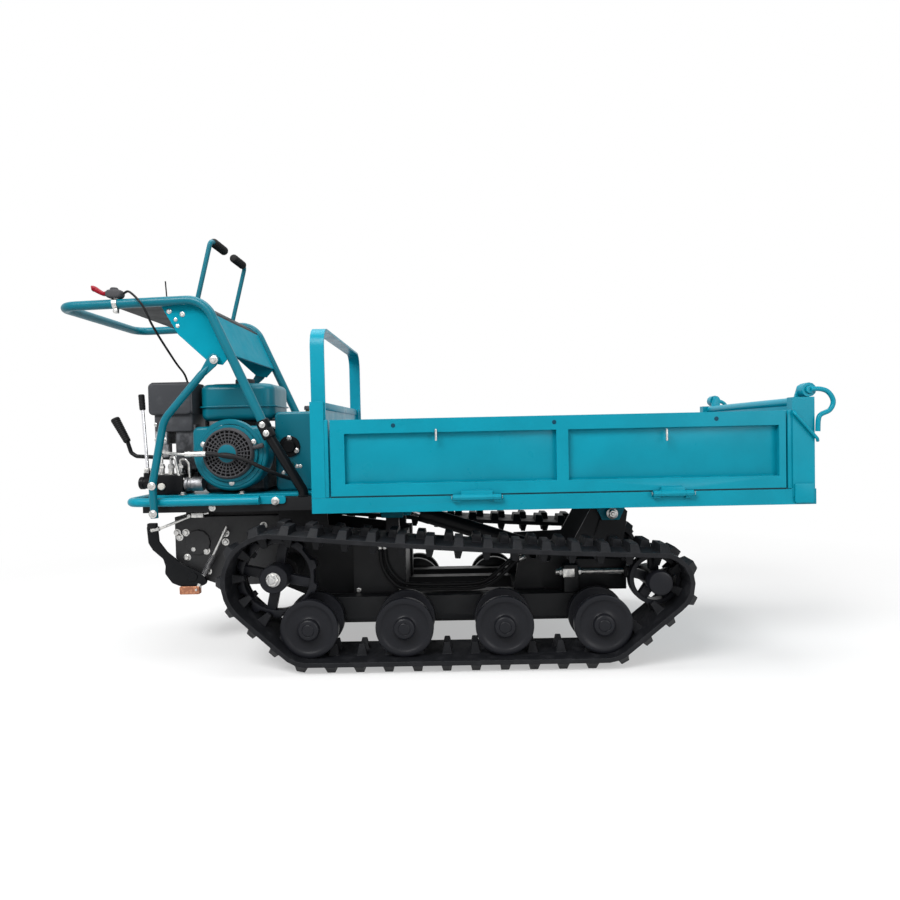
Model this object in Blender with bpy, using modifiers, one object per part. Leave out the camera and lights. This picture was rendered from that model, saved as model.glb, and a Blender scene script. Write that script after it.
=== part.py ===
"""Tracked mini dumper with a tipping load bed, at real size.

Metres, +Z up, +X towards the dump end, origin on the ground at the middle of the machine.
"""
import math
import bpy
import bmesh
import numpy as np
from mathutils import Matrix, Vector

# Clearances
GAP = 0.0003
WELD = 0.00001
BORE_CLEARANCE = 0.0008

# Left and right sides: name and sign of Y
SIDES = (("right", -1), ("left", 1))

# Rubber tracks
TRACK_OFFSET = 0.28
TRACK_WIDTH = 0.18
LINKS = 36
TEETH = 10
CARCASS = 0.012
LUG_HEIGHT = 0.020
LUG_END_SLOPE = 0.022
LUG_TOP_SHARE = 0.78
HORN_HEIGHT = 0.029
HORN_INNER = 0.018
HORN_OUTER = 0.034
HORN_TIP_SHARE = 0.52
LINK_CUTS = (-0.18, 0.18, 0.54)
TOP_SAG = 0.008
ARC_STEPS = 48

# Wheels of the tracks, with axes in the XZ plane
SPROCKET_X = -0.414
SPROCKET_Z = 0.235
SPROCKET_THICKNESS = 0.030
TOOTH_CLEARANCE = 0.0035
TOOTH_HEIGHT = 0.010
TOOTH_ROOT_WIDTH = 0.026
TOOTH_TIP_WIDTH = 0.020
SPROCKET_RIM = 0.009
SPOKE_WIDTH = 0.024
SPROCKET_HUB_RADIUS = 0.036
SPROCKET_HUB_FACE = 0.050
HUB_NUT_RADIUS = 0.022
HUB_NUT_DEPTH = 0.010
SPROCKET_TILT = math.radians(-12.0)
IDLER_X = 0.566
IDLER_Z = 0.212
IDLER_RADIUS = 0.066
IDLER_RIM = 0.012
IDLER_HALF = 0.0155
IDLER_WINDOWS = 5
IDLER_HUB_RADIUS = 0.027
ROLLER_XS = (-0.324, -0.081, 0.174, 0.424)
ROLLER_RADIUS = 0.0745
ROLLER_HUB_RADIUS = 0.033
WHEEL_INBOARD = 0.065
WHEEL_OUTBOARD = 0.072
DISC_INNER = 0.037
DISC_THICKNESS = 0.021
WHEEL_STEPS = 18
CAP_RADIUS = 0.031
AXLE_RADIUS = 0.012

# Roller beams and tensioners, measured inwards from the tracks
BEAM_OUTER = TRACK_OFFSET - 0.075
BEAM_INNER = BEAM_OUTER - 0.045
BEAM_REAR = -0.360
BEAM_FRONT = 0.470
BEAM_BOTTOM = 0.088
BEAM_TOP = 0.158
TENSION_ROD_RADIUS = 0.008
TENSION_BLOCK_X = (0.345, 0.385)
TENSION_SLIDE_X = (0.510, 0.600)
TENSION_SLIDE_HALF = 0.034
TENSION_GUIDE = 0.012

# Chassis, whose side plates stand inside the beams
PLATE_INNER = BEAM_INNER - 0.048
PLATE_THICKNESS = 0.008
PLATE_OUTER = PLATE_INNER + PLATE_THICKNESS
PAN_FRONT = -0.310
PAN_HALF = 0.222
PAN_BOTTOM = 0.400
PAN_TOP = 0.4357
REAR_BOX_X = (-0.330, -0.095)
REAR_BOX_BOTTOM = 0.149
REAR_BOX_TOP = 0.315
CROSS_TUBE_Z = (0.102, 0.152)
FRONT_TUBE_X = (0.220, 0.300)
CENTRE_RAIL_INNER = PLATE_INNER - 0.032
SIDE_COVER_X = (-0.235, -0.088)
SIDE_COVER_OUTER = BEAM_INNER - 0.005
BRACKET_HOLES = ((0.2715, 0.2474), (0.312, 0.239))
BRACKET_HOLE_RADIUS = 0.0107

# Final drive, its outlines measured from the sprocket's axis as (X, Z)
GEARBOX_HALF = PLATE_INNER - 0.012
GEARBOX_TOP = 0.374
GEARBOX_OUTLINE = ((-0.343, 0.020), (-0.286, -0.035), (-0.206, -0.063), (-0.030, -0.057),
                   (0.045, -0.030), (0.052, 0.055))
GEARBOX_TOP_X = (-0.343, 0.010)
GEARBOX_FLANGE = (-0.276, 0.065)
GEARBOX_FLANGE_RADIUS = 0.036
HOUSING_RADIUS = 0.033
HOUSING_END = BEAM_OUTER - 0.005
ARM_OUTLINE = ((-0.415, 0.120), (-0.385, 0.125), (-0.381, 0.072), (-0.359, 0.042), (-0.320, 0.009),
               (-0.261, -0.020), (-0.242, -0.050), (-0.277, -0.062), (-0.326, -0.056), (-0.346, -0.048),
               (-0.366, -0.020), (-0.364, 0.002), (-0.370, 0.022), (-0.399, 0.048), (-0.411, 0.068))
ARM_BOSS = (-0.286, -0.030)
ARM_SHOE_X = (-0.324, -0.267)
ARM_SHOE_Z = (-0.080, -0.057)
UPPER_PULL_ROD = ((-0.398, 0.105), (-0.375, 0.110), (-0.285, 0.144), (-0.236, 0.152))
LOWER_PULL_ROD = ((-0.276, -0.067), (-0.186, 0.111))
PULL_ROD_RADIUS = 0.004
ARM_GAP = 0.014
ARM_THICKNESS = 0.010

# Bed
PIVOT_X = 0.490
PIVOT_Z = 0.366
PIVOT_PIN_RADIUS = 0.012
BED_X = (-0.310, 0.964)
BED_HALF = 0.330
RAIL_BOTTOM = 0.402
RAIL_TOP = 0.441
RAIL_WIDTH = 0.030
REAR_RAIL_WIDTH = 0.045
FLOOR_THICKNESS = 0.004
EAR_INNER = PLATE_OUTER + 0.005
EAR_THICKNESS = 0.008
UNDER_RAIL = (EAR_INNER, EAR_INNER + 0.025)
REST_X = (-0.155, -0.095)
REST_BOTTOM = 0.365

# Gates
GATE_X = (-0.260, 0.889)
GATE_TOP = 0.639
GATE_DEPTH = 0.025
GATE_SKIN = 0.003
GATE_TOP_RAIL = 0.036
GATE_FOOT_RAIL = 0.034
GATE_STILES = (0.036, 0.017)
GATE_RIB_X = (0.313, 0.343)
HINGE_XS = ((0.069, 0.150), (0.572, 0.633))
HINGE_Y = BED_HALF + 0.009
HINGE_Z = 0.437
HINGE_RADIUS = 0.008
HINGE_LUG = 0.020
POST_X = (0.905, 0.960)
POST_Y = (BED_HALF - 0.028, BED_HALF + 0.002)
POST_TOP = 0.672
TAILGATE_X = (0.921, 0.939)
TAILGATE_TUBE_RADIUS = 0.0125
TAILGATE_TUBE_Z = 0.660
KNUCKLE_X = 0.947
KNUCKLE_Z = 0.690
KNUCKLE_RADIUS = 0.018
KNUCKLE_PIN_RADIUS = 0.010
HOOK_RADIUS = 0.006
HOOK_ROUTE = ((0.0, 0.0), (0.036, -0.001), (0.050, -0.012), (0.056, -0.030), (0.045, -0.062), (0.021, -0.088))

# Headboard and guard hoop
HEAD_POST = 0.035
HEAD_TOP = 0.687
HEAD_PANEL = 0.018
HOOP_WIDTH = 0.036
HOOP_BAR = 0.006
HOOP_HALF = BED_HALF - 0.0075
HOOP_TOP = 0.878
HOOP_CORNER = 0.050

# Lifting cylinder
BASE_PIN_X = 0.300
BASE_PIN_Z = 0.245
EYE_PIN_X = -0.100
EYE_PIN_Z = 0.375
BARREL_RADIUS = 0.025
BARREL_START = 0.036
BARREL_END = 0.372
ROD_RADIUS = 0.0125
ROD_TAIL = 0.070
EYE_RADIUS = 0.020
EYE_HALF = 0.0145
CLEVIS_INNER = 0.016
CLEVIS_THICKNESS = 0.008
CYLINDER_PIN_RADIUS = 0.010

# Engine, on its deck, between the handlebar's struts
HANDLE_HALF = 0.230
STRUT_RADIUS = 0.0135
DECK_CLEARANCE = 0.005
BLOWER_CLEARANCE = 0.003
DECK_X = (-0.790, -0.335)
DECK_HALF = PAN_HALF - 2 * STRUT_RADIUS - DECK_CLEARANCE
DECK_THICKNESS = 0.008
CRANK_X = -0.558
CRANK_Z = 0.557
BLOWER_RADIUS = 0.103
BLOWER_TOP = 0.631
BLOWER_Y = (2 * STRUT_RADIUS + BLOWER_CLEARANCE - HANDLE_HALF, -0.125)
RECOIL_RADIUS = 0.078
RECOIL_DEPTH = 0.026
CASE_X = (CRANK_X - 0.102, CRANK_X + 0.078)
CASE_Y = (-0.1247, 0.110)
CASE_TOP = 0.600
BARREL_BLOCK_X = (CASE_X[0] - 0.095, CASE_X[0])
BARREL_BLOCK_Z = (0.500, 0.590)
FIN_COUNT = 5
FIN_THICKNESS = 0.005
FIN_HALF = 0.068
FIN_REACH = 0.016
TANK_X = (CRANK_X - 0.113, CRANK_X + 0.098)
TANK_Y = (-0.115, 0.070)
TANK_Z = (0.648, 0.755)
TANK_CORNER = 0.030
TANK_SEAM_Z = 0.688
TANK_LIP = 0.006
TANK_CAP_RADIUS = 0.027
AIR_BOX_X = (CRANK_X - 0.250, CRANK_X - 0.124)
AIR_BOX_Y = (-0.140, -0.010)
AIR_BOX_Z = (0.667, 0.761)
CARBURETTOR_Z = 0.545
MUFFLER_X = (CRANK_X - 0.242, CRANK_X - 0.132)
MUFFLER_Y = (0.010, 0.130)
MUFFLER_Z = (0.610, 0.700)
OIL_TANK_X = (CRANK_X + 0.101, CRANK_X + 0.220)
OIL_TANK_Y = (-0.115, 0.110)
OIL_TANK_TOP = 0.670
GUARD_Y = (CASE_Y[1] + GAP, CASE_Y[1] + 0.070)
GUARD_RADIUS = 0.090

# Hydraulic valve
VALVE_X = (-0.790, -0.700)
VALVE_Y = (-0.175, -0.085)
VALVE_TOP = 0.500
PORT_XS = (-0.772, -0.745, -0.718)
PORT_Y = -0.140
PORT_TOP = 0.530
PORT_RADIUS = 0.009
SPOOL_X = (-0.838, -0.780)
SPOOL_Y = -0.130
SPOOL_Z = 0.476
SPOOL_RADIUS = 0.018
NECK_X = -0.817
NECK_TOP = 0.518
PUMP_X = (-0.705, -0.650)
PUMP_Y = -0.150
PUMP_Z = 0.472
PUMP_RADIUS = 0.020
VALVE_LEVER_TOP = (-0.828, SPOOL_Y, 0.727)
VALVE_GRIP_SHARE = 0.20
VALVE_GRIP_RADIUS = 0.009
VALVE_LEVER_RADIUS = 0.0045

# Gear lever in the middle plane, as (X, Z)
GEAR_ROUTE = ((-0.778, 0.520), (-0.790, 0.541), (-0.864, 0.546), (-0.908, 0.549), (-0.924, 0.560),
              (-0.936, 0.600))
GEAR_ROD_RADIUS = 0.006
GEAR_GRIP = ((-0.933, 0.592), (-0.971, 0.665))
GEAR_GRIP_RADII = (0.011, 0.014)

# Handlebar and controls
HANDLE_RADIUS = 0.0125
HANDLE_END_X = -0.9965
HANDLE_END_Z = 0.959
HANDLE_END_BEND = 0.045
HANDLE_KNEE_X = -0.606
HANDLE_KNEE_Z = 0.970
HANDLE_KNEE_BEND = 0.070
CLAMP_X = -0.4495
CLAMP_Z = 0.620
CLAMP_RADIUS = 0.018
CLAMP_HALF = 0.026
STRUT_FOOT_X = -0.358
STRUT_FOOT_RISE = 0.015
CONSOLE_REAR_X = -0.864
CONSOLE_THICKNESS = 0.004
CONSOLE_FOOT = 0.160
CHEEK_THICKNESS = 0.004
CHEEK_OUTLINE = ((-0.125, -0.006), (-0.077, -0.090), (0.006, -0.168), (0.040, -0.174))
BRACE_RADIUS = 0.010
BRACE_TOP = (0.021, -0.160)
BRACE_ELBOW = (-0.113, -0.320)
BRACE_LOW = (-0.142, -0.492)
BRACE_END = (-0.139, -0.580)
BRACE_BEND = 0.080
BUMPER_RADIUS = 0.012
BUMPER_END_X = -0.827
BUMPER_FRONT_X = -0.471
BUMPER_TAB_X = -0.402
BUMPER_TAB_HALF = 0.011
BUMPER_TAB_THICKNESS = 0.006
BUMPER_Z = 0.430
BUMPER_BEND = 0.035
LEVER_HALF = HANDLE_HALF - 0.076
LEVER_FOOT_X = -0.655
LEVER_TOP_X = -0.610
LEVER_RISE = 0.177
LEVER_BEND = 0.020
LEVER_RADIUS = 0.0065
GRIP_RADIUS = 0.013
GRIP_LENGTH = 0.095
THROTTLE_X = (-0.865, -0.820)
THROTTLE_HALF = 0.014
THROTTLE_Z = (0.0065, 0.024)
THROTTLE_ARM = ((-0.845, 0.020), (-0.875, 0.034), (-0.905, 0.034))
THROTTLE_ARM_RADIUS = 0.005

# Cable and hoses, each along its own points, as (X, Y, Z)
CURVE_STEPS = 12
CABLE_RADIUS = 0.003
CABLE_SPACING = 0.018
THROTTLE_CABLE = ((-0.8182, -0.236, 0.990), (-0.795, -0.250, 0.990), (-0.762, -0.253, 0.955),
                  (-0.745, -0.235, 0.905), (-0.738, -0.190, 0.865), (-0.736, -0.105, 0.815),
                  (-0.742, -0.030, 0.788), (-0.7435, 0.0, 0.750), (-0.7435, 0.0, 0.700),
                  (-0.7435, 0.0, 0.640), (-0.7435, 0.0, BARREL_BLOCK_Z[1] + GAP))
HOSE_RADIUS = 0.0055
HOSE_SPACING = 0.028
PRESSURE_HOSE = ((PORT_XS[0], PORT_Y, PORT_TOP + GAP), (PORT_XS[0], PORT_Y, PORT_TOP + 0.028),
                 (-0.764, -0.164, 0.570), (-0.735, -0.208, 0.564), (-0.680, -0.238, 0.558), (-0.600, -0.240, 0.557),
                 (-0.520, -0.240, 0.545), (-0.470, -0.225, 0.520), (-0.430, -0.190, 0.495),
                 (-0.400, -0.150, 0.480), (-0.395, OIL_TANK_Y[0] - 0.001, 0.478))
BY_COVER = SIDE_COVER_OUTER + GAP + HOSE_RADIUS
BY_PLATE = PLATE_OUTER + GAP + HOSE_RADIUS
CYLINDER_HOSES = (((-0.147, BY_COVER, 0.300), (-0.140, BY_COVER, 0.240), (-0.112, BY_COVER, 0.196),
                   (-0.075, BY_COVER, 0.1815), (0.025, BY_PLATE + 0.0245, 0.1765), (0.108, BY_PLATE + 0.022, 0.178),
                   (0.146, BY_PLATE + 0.014, 0.190), (0.178, BY_PLATE + 0.006, 0.214),
                   (0.2035, BY_PLATE + 0.002, 0.236), (0.236, BY_PLATE, 0.260)),
                  ((-0.160, BY_COVER, 0.300), (-0.153, BY_COVER, 0.232), (-0.122, BY_COVER, 0.184),
                   (-0.081, BY_COVER, 0.1685), (0.025, BY_PLATE + 0.0245, 0.1635), (0.111, BY_PLATE + 0.022, 0.1645),
                   (0.1555, BY_PLATE + 0.014, 0.179), (0.190, BY_PLATE + 0.006, 0.206),
                   (0.216, BY_PLATE + 0.002, 0.229), (0.2475, BY_PLATE, 0.2475)))

# Ends of the pan, whose rear corners lie inside the bumper's bends
PAN_X = (BUMPER_END_X + BUMPER_BEND, PAN_FRONT)

# Colour, roughness and metallic value of each finish
FINISHES = {
    "teal paint": ((0.005, 0.30, 0.42, 1.0), 0.30, 0.0),
    "black paint": ((0.012, 0.012, 0.016, 1.0), 0.45, 0.0),
    "rubber": ((0.014, 0.014, 0.018, 1.0), 0.75, 0.0),
    "plastic": ((0.03, 0.03, 0.035, 1.0), 0.50, 0.0),
    "cast metal": ((0.18, 0.18, 0.19, 1.0), 0.50, 0.8),
    "zinc": ((0.62, 0.62, 0.60, 1.0), 0.32, 1.0),
    "chrome": ((0.80, 0.80, 0.82, 1.0), 0.12, 1.0),
}

# Matrices that lay a flat outline, drawn in XY, into the XZ or the YZ plane
TO_XZ = Matrix(((1, 0, 0, 0), (0, 0, -1, 0), (0, 1, 0, 0), (0, 0, 0, 1)))
TO_YZ = Matrix(((0, 0, 1, 0), (1, 0, 0, 0), (0, 1, 0, 0), (0, 0, 0, 1)))


def clear_scene():
    """Remove every object of the scene."""
    for obj in list(bpy.data.objects):
        bpy.data.objects.remove(obj)


def new_collection(name):
    """Collection linked to the scene."""
    collection = bpy.data.collections.new(name)
    bpy.context.scene.collection.children.link(collection)
    return collection


clear_scene()
PARTS = new_collection("tracked_mini_dumper")
CUTTERS = new_collection("cutters")


def material(name, finish):
    """Principled material of one node."""
    colour, roughness, metallic = FINISHES[finish]
    made = bpy.data.materials.new(name)
    made.use_nodes = True
    shader = made.node_tree.nodes["Principled BSDF"]
    shader.inputs["Base Color"].default_value = colour
    shader.inputs["Roughness"].default_value = roughness
    shader.inputs["Metallic"].default_value = metallic
    made.diffuse_color = colour
    return made


def box(xs, ys, zs, bevel=0.0, steps=1):
    """Solid box between two values on each axis, its edges rounded by bevel."""
    shell = bmesh.new()
    lows = [min(pair) for pair in (xs, ys, zs)]
    highs = [max(pair) for pair in (xs, ys, zs)]
    middle = Vector([(a + b) / 2 for a, b in zip(lows, highs)])
    size = [b - a for a, b in zip(lows, highs)]
    place = Matrix.Translation(middle) @ Matrix.Diagonal((*size, 1.0))
    bmesh.ops.create_cube(shell, size=1.0, matrix=place)
    if bevel > 0.0:
        edges = list(shell.edges)
        bmesh.ops.bevel(shell, geom=edges, offset=bevel, segments=steps, affect="EDGES", profile=0.5)
    return shell


def rounded_tank(xs, ys, zs, corner, edge):
    """Solid box with large upright corners and smaller rounded edges above and below."""
    shell = box(xs, ys, zs)
    upright = [e for e in shell.edges if abs(e.verts[0].co.z - e.verts[1].co.z) > WELD]
    bmesh.ops.bevel(shell, geom=upright, offset=corner, segments=3, affect="EDGES", profile=0.5)
    level = [e for e in shell.edges if abs(e.verts[0].co.z - e.verts[1].co.z) < WELD]
    bmesh.ops.bevel(shell, geom=level, offset=edge, segments=2, affect="EDGES", profile=0.5)
    return shell


def cylinder(start, end, radius, steps=12, end_radius=None):
    """Solid cylinder or cone between two points."""
    shell = bmesh.new()
    start, end = Vector(start), Vector(end)
    axis = end - start
    turn = Vector((0, 0, 1)).rotation_difference(axis).to_matrix().to_4x4()
    place = Matrix.Translation((start + end) / 2) @ turn
    tip = radius if end_radius is None else end_radius
    bmesh.ops.create_cone(shell, cap_ends=True, segments=steps, radius1=radius, radius2=tip,
                          depth=axis.length, matrix=place)
    return shell


def across(x, z, ys, radius, steps=12):
    """Cylinder along Y at one place in the XZ plane."""
    return cylinder((x, min(ys), z), (x, max(ys), z), radius, steps)


def evaluated_shell(obj, place):
    """Closed shell of an object as evaluated, with its caps welded, and the object removed."""
    bpy.context.scene.collection.objects.link(obj)
    graph = bpy.context.evaluated_depsgraph_get()
    mesh = bpy.data.meshes.new_from_object(obj.evaluated_get(graph))
    shell = bmesh.new()
    shell.from_mesh(mesh)
    bmesh.ops.remove_doubles(shell, verts=shell.verts, dist=WELD)
    shell.transform(place)
    bpy.data.meshes.remove(mesh)
    bpy.data.objects.remove(obj)
    return shell


def plate(outlines, levels, plane=TO_XZ):
    """Flat plate: outlines drawn in a plane, the later ones as windows, between two levels across it."""
    curve = bpy.data.curves.new("outline", "CURVE")
    curve.dimensions = "2D"
    curve.fill_mode = "BOTH"
    curve.extrude = abs(levels[1] - levels[0]) / 2
    for outline in outlines:
        spline = curve.splines.new("POLY")
        spline.points.add(len(outline) - 1)
        spline.use_cyclic_u = True
        for point, (u, v) in zip(spline.points, outline):
            point.co = (u, v, 0.0, 1.0)
    middle = (levels[0] + levels[1]) / 2
    shift = Vector((0, middle, 0)) if plane is TO_XZ else Vector((middle, 0, 0))
    return evaluated_shell(bpy.data.objects.new("outline", curve), Matrix.Translation(shift) @ plane)


def tube_curve(name, points, radius, resolution=2):
    """Round bar or tube along points, with filled caps."""
    curve = bpy.data.curves.new(name, "CURVE")
    curve.dimensions = "3D"
    curve.bevel_depth = radius
    curve.bevel_resolution = resolution
    curve.use_fill_caps = True
    spline = curve.splines.new("POLY")
    spline.points.add(len(points) - 1)
    for point, place in zip(spline.points, points):
        point.co = (*place, 1.0)
    return curve


def tube(points, radius, resolution=2):
    """Shell of a round tube along points."""
    curve = tube_curve("tube", points, radius, resolution)
    return evaluated_shell(bpy.data.objects.new("tube", curve), Matrix.Identity(4))


def turned(profile, centre, direction, steps=WHEEL_STEPS):
    """Solid of revolution: profile rows are (radius, height), top to bottom, about an axis along Y."""
    mesh = bpy.data.meshes.new("profile")
    rows = [(radius, 0.0, height) for radius, height in profile]
    mesh.from_pydata(rows, [(i, i + 1) for i in range(len(rows) - 1)], [])
    obj = bpy.data.objects.new("profile", mesh)
    screw = obj.modifiers.new("Screw", "SCREW")
    screw.steps = steps
    screw.render_steps = steps
    screw.use_merge_vertices = True
    screw.merge_threshold = WELD
    axis = Vector((0, direction, 0))
    first = Vector((1, 0, 0))
    second = axis.cross(first)
    place = Matrix.Translation(centre) @ Matrix((first, second, axis)).transposed().to_4x4()
    shell = evaluated_shell(obj, place)
    bmesh.ops.recalc_face_normals(shell, faces=shell.faces)
    return shell


def rounded_route(corners, radii, steps=5):
    """Points along straight legs whose inner corners are arcs, each of its own radius."""
    corners = [Vector(corner) for corner in corners]
    route = [corners[0]]
    for before, corner, after, radius in zip(corners, corners[1:], corners[2:], radii):
        into = (before - corner).normalized()
        out = (after - corner).normalized()
        half = into.angle(out) / 2
        centre = corner + (into + out).normalized() * (radius / math.sin(half))
        first = corner + into * (radius / math.tan(half)) - centre
        last = corner + out * (radius / math.tan(half)) - centre
        axis = first.cross(last).normalized()
        turn = first.angle(last)
        for step in range(steps + 1):
            route.append(centre + Matrix.Rotation(turn * step / steps, 3, axis) @ first)
    route.append(corners[-1])
    return route


def smooth_route(points, spacing):
    """Evenly spaced points of a Catmull-Rom curve through the route's own points."""
    knots = np.array(points)
    ends = (2 * knots[:1] - knots[1:2], knots, 2 * knots[-1:] - knots[-2:-1])
    padded = np.concatenate(ends)
    share = np.linspace(0.0, 1.0, CURVE_STEPS, endpoint=False)[:, None]
    pieces = []
    for a, b, c, d in zip(padded, padded[1:], padded[2:], padded[3:]):
        cubic = (3 * b - a - 3 * c + d) * share ** 3
        square = (2 * a - 5 * b + 4 * c - d) * share ** 2
        pieces.append((2 * b + (c - a) * share + square + cubic) / 2)
    fine = np.concatenate(pieces + [knots[-1:]])
    run = np.concatenate(((0.0,), np.cumsum(np.linalg.norm(np.diff(fine, axis=0), axis=1))))
    places = np.linspace(0.0, run[-1], round(run[-1] / spacing) + 1)
    return np.stack([np.interp(places, run, fine[:, axis]) for axis in range(3)], axis=1)


def arc(centre, radius, start, end, steps):
    """Points of an arc in a plane, angles in degrees."""
    angles = np.radians(np.linspace(start, end, steps + 1))
    return [(centre[0] + radius * math.cos(a), centre[1] + radius * math.sin(a)) for a in angles]


def gathered(shells, name, origin):
    """One mesh with all the shells in it, measured from the origin."""
    whole = bmesh.new()
    for shell in shells:
        mesh = bpy.data.meshes.new("piece")
        shell.to_mesh(mesh)
        shell.free()
        whole.from_mesh(mesh)
        bpy.data.meshes.remove(mesh)
    whole.transform(Matrix.Translation(-Vector(origin)))
    made = bpy.data.meshes.new(name)
    whole.to_mesh(made)
    whole.free()
    return made


def boolean(obj, kind, shells, origin):
    """Boolean modifier on obj whose operand holds the shells."""
    name = f"{obj.name}_{kind.lower()}"
    operand = bpy.data.objects.new(name, gathered(shells, name, origin))
    operand.hide_render = True
    operand.display_type = "WIRE"
    operand.location = obj.location
    operand.parent = obj.parent
    CUTTERS.objects.link(operand)
    modifier = obj.modifiers.new(kind.title(), "BOOLEAN")
    modifier.operation = kind
    modifier.object = operand
    modifier.solver = "EXACT"
    modifier.use_self = len(shells) > 1


def finished(obj, name, finish):
    """Put a node into the collection of parts with its own material."""
    obj.data.materials.append(material(name, finish))
    PARTS.objects.link(obj)
    return obj


def node(name, finish, shells, cuts=(), parent=None, origin=(0, 0, 0)):
    """One named part: the first shell with the others united to it and the cuts taken away."""
    place = parent.location if parent else Vector(origin)
    obj = bpy.data.objects.new(name, gathered(shells[:1], name, place))
    obj.parent = parent
    obj.location = (0, 0, 0) if parent else place
    obj.data.shade_smooth()
    obj.data.set_sharp_from_angle(angle=math.radians(35))
    finished(obj, name, finish)
    if len(shells) > 1:
        boolean(obj, "UNION", shells[1:], place)
    if cuts:
        boolean(obj, "DIFFERENCE", list(cuts), place)
    return obj


def tube_node(name, finish, points, radius, resolution=3):
    """One named part that is a plain tube."""
    return finished(bpy.data.objects.new(name, tube_curve(name, points, radius, resolution)), name, finish)


def pivot(name, place):
    """Empty on a joint's axis, which the moving pieces hang from."""
    empty = bpy.data.objects.new(name, None)
    empty.location = place
    PARTS.objects.link(empty)
    return empty


def span(side, near, far):
    """The two Y values of a piece that lies between two distances from the middle plane."""
    return (min(side * near, side * far), max(side * near, side * far))


# Track path
CELL_SHARE = max(LINK_CUTS[1] - LINK_CUTS[0], LINK_CUTS[2] - LINK_CUTS[1])
WHEELBASE = IDLER_X - SPROCKET_X
NOMINAL_CELL = CELL_SHARE * 2.6 * WHEELBASE / LINKS


def path_radius(wheel_radius):
    """Radius of the belt's corners round a wheel, whose flats then clear the wheel."""
    half_angle = NOMINAL_CELL / (2 * wheel_radius)
    return wheel_radius / math.cos(half_angle) + GAP


ROLLER_Z = LUG_HEIGHT + CARCASS + path_radius(ROLLER_RADIUS)


def belt_path(sprocket_radius):
    """Inner face of the belt, anticlockwise from the sprocket's top: points and outward normals."""
    circles = [(SPROCKET_X, SPROCKET_Z, sprocket_radius)]
    circles += [(x, ROLLER_Z, path_radius(ROLLER_RADIUS)) for x in ROLLER_XS]
    circles.append((IDLER_X, IDLER_Z, path_radius(IDLER_RADIUS)))
    normals = []
    for (x0, z0, r0), (x1, z1, r1) in zip(circles, circles[1:] + circles[:1]):
        run = np.array((x1 - x0, z1 - z0))
        length = np.hypot(*run)
        along = run / length
        lean = (r0 - r1) / length
        aside = np.array((along[1], -along[0]))
        normals.append(along * lean + aside * math.sqrt(1 - lean * lean))
    points, directions = [], []
    for index, (x, z, radius) in enumerate(circles):
        start = math.atan2(*normals[index - 1][::-1])
        end = math.atan2(*normals[index][::-1])
        angles = start + np.linspace(0, (end - start) % (2 * math.pi), ARC_STEPS)
        arrows = np.stack((np.cos(angles), np.sin(angles)), axis=1)
        points.append(np.array((x, z)) + radius * arrows)
        directions.append(arrows)
    first, last = points[-1][-1], points[0][0]
    share = np.linspace(0, 1, ARC_STEPS)[1:-1, None]
    hang = np.array((0.0, -4 * TOP_SAG))
    slope = (last - first) + hang * (1 - 2 * share)
    slope /= np.linalg.norm(slope, axis=1, keepdims=True)
    points.append(first + (last - first) * share + hang * share * (1 - share))
    directions.append(np.stack((slope[:, 1], -slope[:, 0]), axis=1))
    return np.concatenate(points), np.concatenate(directions)


def pitch_line(points, directions):
    """Distance run along the middle of the carcass at each point, closing the loop."""
    middle = points + directions * CARCASS / 2
    steps = np.linalg.norm(np.roll(middle, -1, axis=0) - middle, axis=1)
    return np.concatenate(((0.0,), np.cumsum(steps)))


def fitted_sprocket_radius():
    """Inner belt radius on the sprocket at which TEETH links go once round it."""
    radius = 0.5 * WHEELBASE / math.pi
    for _ in range(20):
        pitch = pitch_line(*belt_path(radius))[-1] / LINKS
        radius = TEETH * pitch / (2 * math.pi) - CARCASS / 2
    return radius


BELT_RADIUS = fitted_sprocket_radius()
TOOTH_TIP_RADIUS = BELT_RADIUS - TOOTH_CLEARANCE
TOOTH_ROOT_RADIUS = TOOTH_TIP_RADIUS - TOOTH_HEIGHT


def belt_stations():
    """Places and normals at the cuts of every link, starting at the sprocket's rear."""
    points, directions = belt_path(BELT_RADIUS)
    run = pitch_line(points, directions)
    pitch = run[-1] / LINKS
    top_angle = math.atan2(directions[0][1], directions[0][0])
    rear = (math.pi - top_angle) * (BELT_RADIUS + CARCASS / 2)
    places = rear + pitch * (np.arange(LINKS)[:, None] + np.array(LINK_CUTS)).ravel()
    places %= run[-1]
    closed = np.concatenate((points, points[:1]))
    arrows = np.concatenate((directions, directions[:1]))
    spots = np.stack([np.interp(places, run, closed[:, axis]) for axis in (0, 1)], axis=1)
    normals = np.stack([np.interp(places, run, arrows[:, axis]) for axis in (0, 1)], axis=1)
    return spots, normals / np.linalg.norm(normals, axis=1, keepdims=True)


def raise_blocks(shell, faces, height, keep_along, keep_across, slide=0.0):
    """Raise face cells into blocks; slide moves the edge farthest from the belt's middle inwards."""
    shell.normal_update()
    raised = bmesh.ops.extrude_discrete_faces(shell, faces=faces)["faces"]
    for face in raised:
        normal = face.normal.copy()
        centre = face.calc_center_median()
        outward = math.copysign(1.0, centre.y)
        for vert in face.verts:
            offset = vert.co - centre
            aside = offset.y * keep_across
            if offset.y * outward > 0:
                aside -= outward * slide
            offset.y = 0.0
            vert.co = centre + offset * keep_along + Vector((0, aside, 0)) + normal * height


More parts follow.
